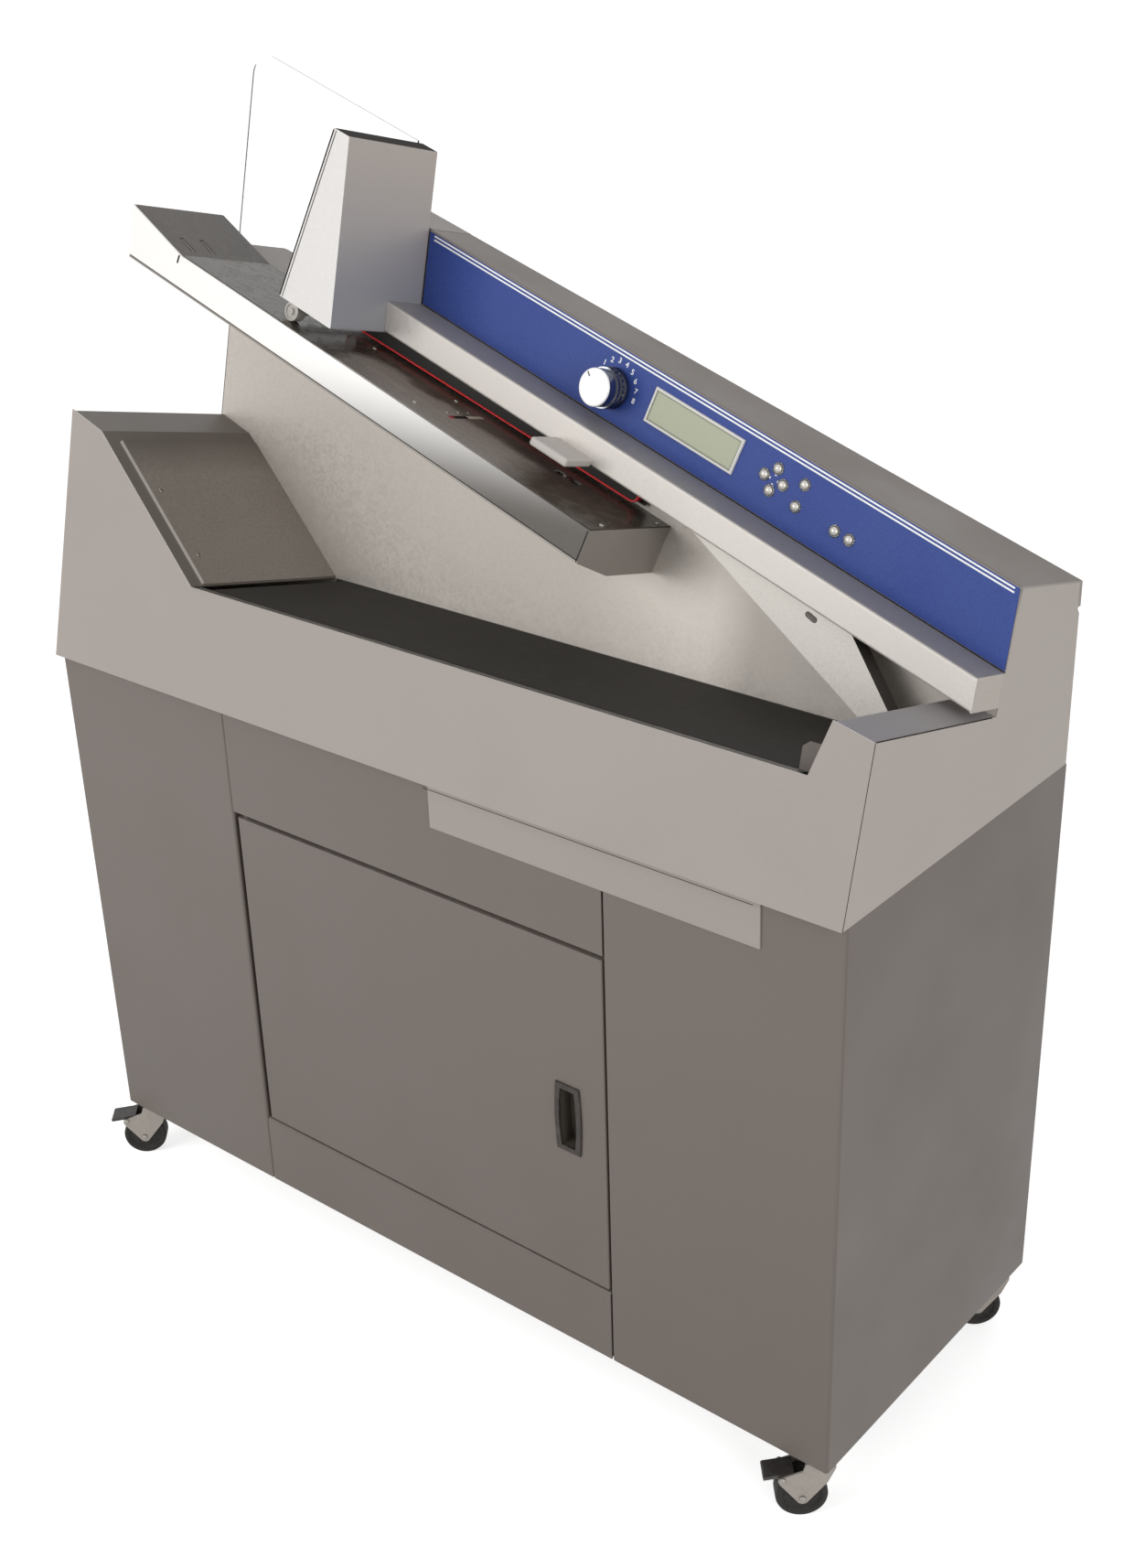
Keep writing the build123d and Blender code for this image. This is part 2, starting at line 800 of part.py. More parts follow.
def stacker_frame():
    """Belt bed between two side rails whose top flanges close the gaps beside the belt."""
    front_rail = belt_front - 3 - stacker_rail
    rear_rail = belt_back + 1.5
    top = trough_level
    low = top - stacker_rail_height
    x0 = stacker_left_x - stacker_roller_radius - belt_thickness - 1
    x1 = stacker_right_x + stacker_roller_radius + belt_thickness + 1
    frame = block(x0, x1, front_rail, front_rail + stacker_rail, low, top)
    frame += block(x0, x1, skin, front_rail + stacker_rail, top - stacker_rail, top)
    frame += block(x0, x1, rear_rail, rear_rail + stacker_rail, low, top)
    frame += block(x0, x1, rear_rail, wall_depth, top - stacker_rail, top)
    bed_top = trough_level - belt_thickness - bed_gap
    bed_x0 = stacker_left_x + stacker_roller_radius + 2
    bed_x1 = stacker_right_x - stacker_roller_radius - 2
    frame += block(bed_x0, bed_x1, front_rail, rear_rail + stacker_rail, bed_top - 2, bed_top)
    for x in (stacker_left_x, stacker_right_x):
        frame -= rod_y(x, 0, wall_depth - 0.1, stacker_axis_z, stacker_shaft_radius + running_fit)
    return housing * frame


stacker_axis_z = trough_level - belt_thickness - stacker_roller_radius


def stacker_belt():
    """Wide black conveyor belt round the two rollers."""
    outer = stadium(stacker_left_x, stacker_right_x, stacker_roller_radius + belt_thickness)
    inner = stadium(stacker_left_x, stacker_right_x, stacker_roller_radius + 0.05)
    face = Plane.XZ.offset(-belt_front) * (Pos(0, stacker_axis_z) * (outer - inner))
    return housing * extrude(face, amount=-(belt_back - belt_front))


def stadium(x0, x1, radius):
    """Two half circles joined by straight lines, about z = 0."""
    sides = [
        Line((x0, -radius), (x1, -radius)),
        ThreePointArc((x1, -radius), (x1 + radius, 0), (x1, radius)),
        Line((x1, radius), (x0, radius)),
        ThreePointArc((x0, radius), (x0 - radius, 0), (x0, -radius)),
    ]
    return make_face(Curve() + sides)


def stacker_roller(x):
    """Steel roller with its shaft ends in the side rails."""
    body = rod_y(x, belt_front + 0.5, belt_back - 0.5, stacker_axis_z, stacker_roller_radius)
    shaft = rod_y(x, skin + 2, wall_depth - 0.4, stacker_axis_z, stacker_shaft_radius)
    return housing * (body + shaft)


def rear_cover():
    """Rear sheet of the upper housing with the fixed box behind the tower."""
    inner_w = half_w - skin
    flange = hinge_drop - 6
    right_top_line = [
        (x, world_z(x, half_d, cover_top) - hinge_drop - 6) for x in (section_right_x, inner_w)
    ]
    outline = [
        (-inner_w, cabinet_top),
        (-inner_w, world_z(-inner_w, half_d, 0)),
        (section_left_x, world_z(section_left_x, half_d, 0)),
        (section_left_x, world_z(section_left_x, half_d, cover_top)),
        (section_right_x, world_z(section_right_x, half_d, cover_top)),
        *right_top_line,
        (inner_w, cabinet_top),
    ]
    back = slab_y(outline, half_d - skin, half_d)
    shelf = slope * block(-far, far, section_front, far, -skin, 0)
    shelf = behind_limit(between_x(shelf, -inner_w, section_left_x + skin), half_d)
    lid = slope * block(-far, far, section_front, far, cover_top - skin, cover_top)
    lid = behind_limit(between_x(lid, section_left_x, section_right_x), half_d)
    front = slope * block(-far, far, section_front, section_front + skin, -skin, cover_top)
    front = between_x(front, section_left_x, section_right_x)
    end = slope * block(-far, far, section_front, far, -skin, cover_top)
    end = behind_limit(between_x(end, section_left_x, section_left_x + skin), half_d)
    cover = back + shelf + lid + front + end
    for place in hinge_places:
        half = knuckle_length / 2
        cover += hinge * rod_x(place - half, place + half, 0, 0, knuckle_radius)
        cover += hinge * block(place - half, place + half, 2.0, hinge_depth, -9, -2)
        cover -= hinge * rod_x(place - half - 1, place + half + 1, 0, 0, hinge_pin_radius + running_fit)
    cover -= slope * rod_y(wheel_s, 0, far, feed_wheel_level, feed_shaft_radius + 2)
    for i in range(8):
        x = cover_left_x + 560 + i * 18.0
        cover -= block(x - 3, x + 3, half_d - 2 * skin, half_d + 1, cabinet_top + 30, cabinet_top + 75)
    return cover


section_right_x = cover_left_x - section_gap


def cover_solid(inset):
    """The hinged cover's convex outer form, or its inside when inset by the sheet."""
    solid = slope * block(-far, far, cover_front + inset, far, -far / 4, cover_top - inset)
    solid = behind_limit(solid, half_d - inset)
    return between_x(solid, cover_left_x, half_w)


def top_cover():
    """Hinged control cover: sloping top sheet, front sheet and a short rear flange."""
    outer = cover_solid(0)
    long_edges = outer.edges().filter_by(lambda e: e.length > 0.6 * half_w).sort_by(Axis.Z)
    outer = fillet(long_edges[-2:], cover_fold)
    solid = outer - cover_solid(skin)
    solid -= slope * block(-far, far, 0, cover_front + skin + 1, -far, cover_bottom)
    solid -= hinge * block(-far, far, -hinge_depth, far, -far, 0.6)
    solid -= hinge * block(-far, far, -far / 10, far, -far, -hinge_drop - far / 20)
    heel = hinge * block(-far, far, -0.5, far, 0.6, far)
    solid += between_x(outer & heel, half_w - skin, half_w)
    half = knuckle_length / 2
    for place in hinge_places:
        solid -= hinge * block(place - half - 1, place + half + 1, 0.5, far / 10, 0, 9)
        for side in (-1, 1):
            start = place + side * (half + 0.5)
            end = place + side * (half + 0.5 + knuckle_length)
            low, high = min(start, end), max(start, end)
            solid += hinge * rod_x(low, high, 0, 0, knuckle_radius)
            solid += hinge * block(low, high, 2.0, hinge_depth - skin + 0.5, 0, 6)
            solid -= hinge * rod_x(low - 0.2, high + 0.2, 0, 0, hinge_pin_radius + running_fit)
    for s, n in button_places.values():
        solid -= slope * rod_y(s, 0, cover_front + skin + 1, n, button_stem_radius + part_gap)
    solid -= slope * rod_y(knob_s, 0, cover_front + skin + 1, knob_n, knob_stem_radius + running_fit)
    return solid


def control_panel():
    """Thin coloured panel bonded to the cover's front, with holes for the controls."""
    back = cover_front
    panel = slope * block(
        -far, far, back - panel_thickness, back, cover_bottom + panel_margin, cover_top - cover_fold
    )
    panel = between_x(panel, cover_left_x + panel_margin, half_w - panel_margin)
    for s, n in button_places.values():
        panel -= slope * rod_y(s, 0, far, n, button_radius + part_gap)
    panel -= slope * rod_y(knob_s, 0, far, knob_n, knob_stem_radius + part_gap)
    return panel


def display():
    """Display module: a raised frame round a recessed window."""
    face_y = cover_front - panel_thickness
    half_width = display_width / 2
    half_height = display_height / 2
    frame = 3.0
    module = block(
        display_s - half_width,
        display_s + half_width,
        face_y - display_thickness,
        face_y,
        display_n - half_height,
        display_n + half_height,
    )
    module = fillet(module.edges().group_by(Axis.Y)[0], 0.8)
    module -= block(
        display_s - half_width + frame,
        display_s + half_width - frame,
        face_y - display_thickness - 1,
        face_y - display_thickness + 1.5,
        display_n - half_height + frame,
        display_n + half_height - frame,
    )
    return slope * module


def selector_knob():
    """Round selector: ribbed skirt, smooth face and a stem through the cover."""
    face_y = cover_front - panel_thickness - 0.5
    body = rod_y(0, face_y - knob_depth, face_y, 0, knob_face_radius)
    body = fillet(body.edges().group_by(Axis.Y)[0], 2.0)
    for start in (6.0, 14.0, 22.0):
        body += rod_y(0, face_y - start, face_y - start + 4.5, 0, knob_radius)
    body += rod_y(0, face_y - 1, cover_front + skin + 12, 0, knob_stem_radius)
    pointer = Rot(0, 90 - knob_pointer_angle, 0) * block(
        -0.9, 0.9, face_y - knob_depth - 0.6, face_y - knob_depth + 1, knob_face_radius - 8.5, knob_face_radius - 2.5
    )
    return slope * Pos(knob_s, 0, knob_n) * (body + pointer)


def push_button(s, n):
    """Domed metal button with a stem through the cover."""
    face_y = cover_front - panel_thickness
    dome_height = 3.0
    cap_back = cover_front - button_travel - running_fit
    cap = rod_y(0, face_y - button_height + dome_height, cap_back, 0, button_radius - 0.2)
    sphere_radius = (button_radius ** 2 + dome_height ** 2) / (2 * dome_height)
    ball = Pos(0, face_y - button_height + sphere_radius, 0) * Sphere(sphere_radius)
    front = block(
        -button_radius, button_radius, face_y - button_height - 1, face_y - button_height + dome_height,
        -button_radius, button_radius,
    )
    dome = ball & front & rod_y(0, face_y - button_height - 1, cap_back, 0, button_radius - 0.2)
    stem = rod_y(0, cap_back - 1, cover_front + skin + 5, 0, button_stem_radius)
    keeper = rod_y(0, cover_front + skin, cover_front + skin + 1.5, 0, button_radius)
    return slope * Pos(s, 0, n) * (cap + dome + stem + keeper)


# ---------------------------------------------------------------- rail, tower and deck
def rail_cover():
    """Sloping box cover in front of the wall, over the belt drive."""
    line = [
        (wall_depth, rail_top),
        (rail_front, rail_top),
        (rail_front, rail_bottom),
        (rail_front + rail_lip, rail_bottom),
    ]
    rail = slope * folded_x(line, skin, bend - 1, -far, far)
    rail = between_x(rail, tower_right_x + 0.3, half_w)
    end = slope * block(-far, far, rail_front + 0.5, wall_depth, rail_bottom, rail_top - 0.5)
    end = between_x(end, half_w - skin, half_w)
    return rail + end


def tower_outline(inset, low):
    """Tower front in (x, z) of the housing frame."""
    left_low = tower_left_x + inset
    right = tower_right_x - inset
    left_high = tower_top_left_x + inset
    return [
        (left_low, z_on_slope(left_low, low)),
        (right, z_on_slope(right, low)),
        (right, z_on_slope(right, tower_top - inset)),
        (left_high, z_on_slope(left_high, tower_top - inset)),
    ]


def feeder_tower():
    """Tapered sheet tower over the feeder, open below and behind."""
    outer = slab_y(tower_outline(0, tower_bottom), tower_front, wall_depth)
    outer = fillet(outer.edges().filter_by(Axis.Y), 1.5)
    inner = slab_y(tower_outline(skin, tower_bottom - 5), tower_front + skin, wall_depth + 1)
    return housing * (outer - inner)


tip_slope = deck_tip_rise / (deck_bend_s - deck_tip_s)


def deck_form(inset):
    """The feeder's box form, or its inside when inset by the sheet."""
    back = wall_depth if inset == 0 else wall_depth + 5
    section = [
        (deck_front + inset, -inset),
        (deck_front + inset, -deck_lip + inset),
        (deck_chamfer_y, -deck_depth + inset),
        (back, -deck_depth + inset),
        (back, -inset),
    ]
    form = slab_x(section, deck_tip_s - 30, -inset)
    tip = slab_y(
        [
            (deck_bend_s, -inset),
            (deck_tip_s - 20, tip_slope * (deck_bend_s - deck_tip_s + 20) - inset),
            (deck_tip_s - 20, -10),
            (deck_bend_s, -10),
        ],
        deck_front + inset,
        back,
    )
    return between_x(slope * (form + tip), deck_left_x + inset, far)


def deck_holes(grow):
    """Slots and vents through the deck."""
    cuts = block(
        slot_s - slot_width / 2 - grow, slot_s + slot_width / 2 + grow, slot_front, slot_back, -9, 9
    )
    cuts += block(
        cutter_s - cutter_radius - 2.5, cutter_s + cutter_radius + 2.5,
        cutter_front - 3, cutter_front + cutter_width + 3, -9, 9,
    )
    for y in feed_slot_y:
        cuts += block(
            feed_slot_s - feed_slot_length / 2, feed_slot_s + feed_slot_length / 2,
            y - feed_slot_width / 2, y + feed_slot_width / 2, -9, 19,
        )
    for s in vent_s:
        for i in range(vent_count):
            cuts += rod_z(s, vent_front + i * vent_pitch, -9, 9, vent_radius)
    for s, y in deck_screws:
        cuts += rod_z(s, y, -9, 9, screw_hole_radius)
    return slope * cuts


def feeder_deck():
    """Sheet steel feeder: deck, front lip, chamfered underside and closed ends."""
    return deck_form(0) - deck_form(skin) - deck_holes(0)


def deck_plate():
    """Thin polished plate on the deck and its turned-up left end."""
    line = [(deck_tip_s, deck_tip_rise), (deck_bend_s, 0), (-1.0, 0)]
    plate = slope * folded_y(line, liner, bend, deck_front + liner_inset, wall_depth)
    plate = between_x(plate, deck_left_x + liner_inset, far)
    return plate - deck_holes(0)


def acrylic_guard():
    """Clear upright plate behind the feeder, clamped behind the back wall."""
    left = -half_w + skin + 0.2
    corner_top = z_on_slope(left, acrylic_top)
    outline = [
        (left, z_on_slope(left, -acrylic_foot)),
        (left, corner_top),
        (acrylic_right_x, z_on_slope(acrylic_right_x, acrylic_top)),
        (acrylic_right_x, z_on_slope(acrylic_right_x, -acrylic_foot)),
    ]
    plate = slab_y(outline, acrylic_front, acrylic_front + acrylic_thickness)
    corner = plate.edges().filter_by(Axis.Y).sort_by(Axis.X)[:2].sort_by(Axis.Z)[-1]
    plate = housing * fillet(corner, acrylic_corner)
    return plate - slope * rod_y(wheel_s, 0, far, feed_wheel_level, feed_shaft_radius + 1)


def deflector_plate():
    """Triangular chute plate that hangs from the rail, with a folded right edge."""
    outline = [
        (deflector_top_left_x, z_on_slope(deflector_top_left_x, rail_bottom)),
        (deflector_top_right_x, z_on_slope(deflector_top_right_x, rail_bottom)),
        (deflector_foot_right_x, deflector_foot),
        (deflector_foot_left_x, deflector_foot),
    ]
    plate = slab_y(outline, deflector_front, deflector_front + skin)
    edge_run = hypot(
        deflector_foot_right_x - deflector_top_right_x,
        deflector_foot - z_on_slope(deflector_top_right_x, rail_bottom),
    )
    edge = [
        outline[1],
        outline[2],
        (deflector_foot_right_x - skin * 1.3, deflector_foot),
        (deflector_top_right_x - skin * 1.3, outline[1][1] + 0.35),
    ]
    fold = slab_y(edge, deflector_front, deflector_front + edge_run / 6)
    slot = rod_y(deflector_slot_x, 0, far, deflector_slot_z, 3.5)
    slot += rod_y(deflector_slot_x - 9, 0, far, deflector_slot_z + 4, 3.5)
    slot += slab_y(
        [
            (deflector_slot_x - 1.5, deflector_slot_z - 3.2),
            (deflector_slot_x - 10.5, deflector_slot_z + 0.8),
            (deflector_slot_x - 7.5, deflector_slot_z + 7.2),
            (deflector_slot_x + 1.5, deflector_slot_z + 3.2),
        ],
        0,
        far,
    )
    return housing * (plate + fold - slot)


def cutter_guard():
    """Cast guard block on the rail, over the cutter."""
    return slope * rounded_guard()


def rounded_guard():
    """Guard block in the slope frame, flat where it meets the rail."""
    solid = block(guard_left_s, guard_right_s, guard_front, rail_front + 6, guard_bottom, guard_top)
    solid = fillet(solid.edges(), 3.0)
    solid -= block(-far, far, rail_front, far, -far, far)
    pocket = block(
        guard_left_s + 4, guard_right_s - 4, guard_front + 4, rail_front + 1, guard_bottom - 1, guard_top - 4
    )
    return solid - pocket


# ---------------------------------------------------------------- belt drive and cutter
belt_frame = slope * Location((belt_start_s, belt_start_y, 0), (0, 0, belt_skew))
web_front = belt_width + 0.4
nose_gap = 0.05


def transport_belt():
    """Red flat belt from the drive pulley round a fixed nose and back."""
    outer = stadium(0, belt_run, pulley_radius + red_belt_thickness)
    inner = stadium(0, belt_run, pulley_radius)
    face = Plane.XZ * (Pos(0, pulley_level) * (outer - inner))
    return belt_frame * extrude(face, amount=-belt_width)


def belt_carrier():
    """Black bar inside the belt with its web, top flange and wall brackets."""
    top = tower_bottom - 0.3
    bar = block(pulley_radius + 4, belt_run, 1, web_front, pulley_level - 7.7, pulley_level + 7.7)
    bar += rod_y(belt_run, 1, web_front, pulley_level, pulley_radius - nose_gap)
    web = block(-14, belt_run + 16, web_front, web_front + web_thickness, 7.0, top)
    flange = block(-14, belt_run + 16, 1, web_front + web_thickness, flange_bottom, top)
    carrier = bar + web + flange
    carrier -= rod_y(0, 0, far, pulley_level, pulley_shaft_radius + running_fit)
    carrier = belt_frame * carrier
    for s in (-400.0, -190.0):
        carrier += slope * block(s, s + 20, belt_start_y + 16, wall_depth, flange_bottom, top)
    return carrier


def belt_drive_pulley():
    """Drive pulley at the belt's upper end, its shaft in the carrier's web."""
    body = rod_y(0, 0.2, belt_width, pulley_level, pulley_radius - nose_gap)
    body += rod_y(0, 0, web_front + web_thickness + 4, pulley_level, pulley_shaft_radius)
    return belt_frame * body


def milling_cutter():
    """Toothed cutter in the deck slot, on a shaft through the wall to its motor."""
    disc = rod_y(0, cutter_front, cutter_front + cutter_width, 0, cutter_radius)
    for i in range(cutter_teeth):
        notch = slab_y(
            [
                (cutter_radius - 3.5, -0.4),
                (cutter_radius + 1, -0.4),
                (cutter_radius + 1, 4.0),
            ],
            cutter_front - 1,
            cutter_front + cutter_width + 1,
        )
        disc -= Rot(0, 360.0 / cutter_teeth * i, 0) * notch
    shaft = rod_y(0, cutter_front + 1, wall_depth + 40, 0, cutter_shaft_radius)
    return slope * Pos(cutter_s, 0, cutter_level) * (disc + shaft)


def cutter_motor():
    """Cutter motor flanged to the back of the wall, with cooling fins round its can."""
    y0 = wall_depth + skin
    half = motor_flange / 2
    motor = block(-half, half, y0, y0 + motor_flange_thickness, -half, half)
    motor += rod_y(0, y0, y0 + motor_length, 0, motor_radius)
    for i in range(5):
        start = y0 + 20 + i * 11.0
        motor -= rod_y(0, start, start + 5, 0, motor_radius + 1) - rod_y(0, start - 1, start + 6, 0, motor_radius - 2.5)
    motor -= rod_y(0, 0, wall_depth + 42, 0, cutter_shaft_radius + running_fit)
    return slope * Pos(cutter_s, 0, cutter_level) * motor


def feed_roller():
    """Feeder wheel under the tower's corner, with its shaft through the wall."""
    y0 = feed_wheel_front
    wheel = rod_y(0, y0, y0 + feed_wheel_width, 0, feed_wheel_radius)
    wheel -= rod_y(0, y0 - 1, y0 + 1.5, 0, feed_wheel_radius - 2.5)
    wheel += rod_y(0, y0 - 1, wall_depth + 12, 0, feed_shaft_radius)
    return slope * Pos(wheel_s, 0, feed_wheel_level) * wheel


# ---------------------------------------------------------------- small and inner parts
def screw():
    """Pan-head screw with its head's seat at z = 0."""
    head = rod_z(0, 0, 0, screw_head_height, screw_head_radius)
    head = fillet(head.edges().group_by(Axis.Z)[-1], 1.0)
    cross = block(-2.2, 2.2, -0.4, 0.4, screw_head_height - 0.6, 9)
    cross += block(-0.4, 0.4, -2.2, 2.2, screw_head_height - 0.6, 9)
    return head + rod_z(0, 0, -screw_length, 0, screw_shank_radius) - cross


def panel_screws():
    """All the pan-head screws of the deck and the ramp plate."""
    screws = [slope * Location((s, y, liner)) * screw() for s, y in deck_screws]
    screws += [
        ramp_point(along, y) * Location((0, 0, ramp_thickness)) * screw() for along, y in ramp_screws
    ]
    return Compound(children=[piece.solid() for piece in screws])


def hinge_pins():
    """The door's two pivots and the control cover's three hinge pins."""
    header = base + header_bottom
    kick = base + kick_height
    pins = [
        rod_z(pivot_x, pivot_y, header - pivot_length, header + 8, pivot_radius),
        rod_z(pivot_x, pivot_y, kick - 8, kick + pivot_length + 3, pivot_radius),
    ]
    reach = 1.5 * knuckle_length
    for place in hinge_places:
        pins.append(hinge * rod_x(place - reach, place + reach, 0, 0, hinge_pin_radius))
    return Compound(children=[piece.solid() for piece in pins])


def power_unit():
    """Supply box, control board and mains inlet on one tray behind the rear panel."""
    y1 = half_d - sheet
    y0 = y1 - tray_thickness
    x0 = supply_x - supply_width / 2
    x1 = supply_x + supply_width / 2
    z0 = base + inlet_level - 50
    z1 = z0 + 2.4 * supply_height
    unit = block(x0, x1, y0, y1, z0, z1)
    unit += block(x0 + 8, x1 - 8, y0 - supply_depth, y0, z0 + supply_rise, z0 + supply_rise + supply_height)
    unit += block(x0 + 8, x1 - 8, y0 - 10, y0 - 8, z1 - board_inset - board_height, z1 - board_inset)
    for x in (x0 + 14, x1 - 14):
        for z in (z1 - board_inset - board_height + 6, z1 - board_inset - 6):
            unit += rod_y(x, y0 - 9, y0, z, 3.0)
    inlet_z = base + inlet_level
    half_w_inlet = inlet_width / 2 - 4
    half_h_inlet = inlet_height / 2 - 4
    unit += block(
        supply_x - half_w_inlet, supply_x + half_w_inlet,
        y0 - 22, half_d, inlet_z - half_h_inlet, inlet_z + half_h_inlet,
    )
    unit += block(
        supply_x - inlet_width / 2, supply_x + inlet_width / 2,
        half_d, half_d + 2, inlet_z - inlet_height / 2, inlet_z + inlet_height / 2,
    )
    unit -= block(
        supply_x - half_w_inlet + 3, supply_x + half_w_inlet - 3,
        half_d + 2 - inlet_depth, half_d + 5, inlet_z - half_h_inlet + 3, inlet_z + half_h_inlet - 3,
    )
    for x in (-7.0, 0.0, 7.0):
        unit += block(
            supply_x + x - 1, supply_x + x + 1, half_d + 1 - inlet_depth, half_d - 3, inlet_z - 2, inlet_z + 2
        )
    return unit


def chip_bin():
    """Open bin on the cabinet floor that catches the milled paper."""
    z0 = base + sheet
    y1 = bin_depth / 2
    bin_solid = block(-bin_width / 2, bin_width / 2, -y1, y1, z0, z0 + bin_height)
    bin_solid = fillet(bin_solid.edges().filter_by(Axis.Z), 12)
    inner = block(
        -bin_width / 2 + bin_wall, bin_width / 2 - bin_wall,
        -y1 + bin_wall, y1 - bin_wall, z0 + bin_wall, z0 + bin_height + 1,
    )
    return bin_solid - fillet(inner.edges().filter_by(Axis.Z), 12 - bin_wall)


# ---------------------------------------------------------------- the whole machine
def all_parts():
    """Every node's shape about the middle of the cabinet, with the floor at z = 0."""
    parts = {
        "cabinet_left_pillar": cabinet_left_pillar(),
        "cabinet_right_pillar": cabinet_right_pillar(),
        "cabinet_rear_panel": cabinet_rear_panel(),
        "cabinet_floor": cabinet_floor(),
        "cabinet_top_plate": cabinet_top_plate(),
        "front_top_panel": front_top_panel(),
        "kick_panel": kick_panel(),
        "door": door(),
        "door_handle": door_handle(),
        "skirt_plate": skirt_plate(),
        "front_apron": front_apron(),
        "left_end_cover": left_end_cover(),
        "right_side_panel": right_side_panel(),
        "right_end_shelf": right_end_shelf(),
        "ramp_plate": ramp_plate(),
        "back_wall": back_wall(),
        "stacker_frame": stacker_frame(),
        "stacker_belt": stacker_belt(),
        "stacker_idler_roller": stacker_roller(stacker_left_x),
        "stacker_drive_roller": stacker_roller(stacker_right_x),
        "rear_cover": rear_cover(),
        "top_cover": top_cover(),
        "control_panel": control_panel(),
        "display": display(),
        "selector_knob": selector_knob(),
        "rail_cover": rail_cover(),
        "feeder_tower": feeder_tower(),
        "feeder_deck": feeder_deck(),
        "deck_plate": deck_plate(),
        "acrylic_guard": acrylic_guard(),
        "deflector_plate": deflector_plate(),
        "cutter_guard": cutter_guard(),
        "transport_belt": transport_belt(),
        "belt_carrier": belt_carrier(),
        "belt_drive_pulley": belt_drive_pulley(),
        "milling_cutter": milling_cutter(),
        "cutter_motor": cutter_motor(),
        "feed_roller": feed_roller(),
        "panel_screws": panel_screws(),
        "hinge_pins": hinge_pins(),
        "power_unit": power_unit(),
        "chip_bin": chip_bin(),
    }
    for name, (s, n) in button_places.items():
        parts["button_" + name] = push_button(s, n)
    for x_sign, side in ((-1, "left"), (1, "right")):
        for y_sign, end in ((-1, "front"), (1, "rear")):
            x, y = wheel_middle(x_sign, y_sign)
            place = Location((x, y, 0), (0, 0, caster_turn))
            parts[f"caster_fork_{end}_{side}"] = place * caster_fork(end == "front")
            parts[f"caster_wheel_{end}_{side}"] = place * caster_wheel()
            if end == "front":
                parts[f"brake_pedal_{side}"] = place * brake_pedal()
    return parts


def middle(parts):
    """Centre of the whole machine's outer box, in x and y."""
    boxes = [shape.bounding_box() for shape in parts.values()]
    x = min(b.min.X for b in boxes) + max(b.max.X for b in boxes)
    y = min(b.min.Y for b in boxes) + max(b.max.Y for b in boxes)
    return x / 2, y / 2


# The machine stands on z = 0, centred under its outer box.
machine = all_parts()
centre_x, centre_y = middle(machine)
os.makedirs("parts", exist_ok=True)
for node, node_shape in machine.items():
    export_step(Pos(-centre_x, -centre_y, 0) * node_shape, "parts/" + node + ".step")
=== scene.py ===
import bpy
import bmesh
import json
from math import cos, pi, radians, sin
from mathutils import Matrix, Vector


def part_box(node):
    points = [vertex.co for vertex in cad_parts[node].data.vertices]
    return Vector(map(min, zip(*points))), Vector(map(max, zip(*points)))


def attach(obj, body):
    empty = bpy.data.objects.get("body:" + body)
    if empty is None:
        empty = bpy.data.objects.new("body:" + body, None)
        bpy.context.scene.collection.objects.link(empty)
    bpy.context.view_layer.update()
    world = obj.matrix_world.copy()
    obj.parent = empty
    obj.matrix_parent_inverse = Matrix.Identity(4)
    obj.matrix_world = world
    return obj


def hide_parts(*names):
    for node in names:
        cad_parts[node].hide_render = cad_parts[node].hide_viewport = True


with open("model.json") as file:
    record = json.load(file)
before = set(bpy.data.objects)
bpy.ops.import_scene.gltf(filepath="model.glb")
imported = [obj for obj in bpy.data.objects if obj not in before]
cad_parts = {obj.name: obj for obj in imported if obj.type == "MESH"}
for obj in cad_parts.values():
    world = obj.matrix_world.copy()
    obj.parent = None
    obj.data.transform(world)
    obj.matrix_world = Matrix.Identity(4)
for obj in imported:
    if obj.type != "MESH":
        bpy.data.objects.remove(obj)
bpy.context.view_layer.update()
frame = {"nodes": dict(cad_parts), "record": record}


# ------------------------------------------------------------------ cabinet casings
# Folded steel casings of the floor cabinet: two corner pillars, the panels between them, the
# door and the rear panel. They are powder coated in a warm dark grey with a fine orange peel.
def rgb(red, green, blue):
    """Screen colour, 0 to 255 a channel, as a shader colour."""
    out = []
    for value in (red, green, blue):
        v = value / 255
        out.append(v / 12.92 if v <= 0.04045 else ((v + 0.055) / 1.055) ** 2.4)
    return (*out, 1.0)


def set_socket(tree, socket, value):
    """Links a socket to another node's output, or gives it a plain value."""
    if isinstance(value, bpy.types.NodeSocket):
        tree.links.new(value, socket)
    else:
        socket.default_value = value


def add(tree, kind, settings=(), **inputs):
    """A node with its settings, and its sockets set to a value or linked."""
    made = tree.nodes.new(kind)
    for key, value in dict(settings).items():
        setattr(made, key, value)
    for key, value in inputs.items():
        set_socket(tree, made.inputs[key.replace("_", " ")], value)
    return made


def math(tree, operation, a, b=0.0, clamp=False):
    """One operation on one or two numbers."""
    made = add(tree, "ShaderNodeMath", {"operation": operation, "use_clamp": clamp})
    for socket, value in zip(made.inputs, (a, b)):
        set_socket(tree, socket, value)
    return made.outputs[0]


def blend(tree, factor, first, second):
    """Colour mix."""
    made = add(tree, "ShaderNodeMix", {"data_type": "RGBA"})
    for place, value in ((0, factor), (6, first), (7, second)):
        set_socket(tree, made.inputs[place], value)
    return made.outputs[2]


def ramp(tree, value, low, high, out_low=0.0, out_high=1.0, shape="LINEAR"):
    """Clamped map of a value."""
    made = add(tree, "ShaderNodeMapRange", {"interpolation_type": shape}, Value=value)
    for key, number in (("From Min", low), ("From Max", high), ("To Min", out_low), ("To Max", out_high)):
        made.inputs[key].default_value = number
    return made.outputs[0]


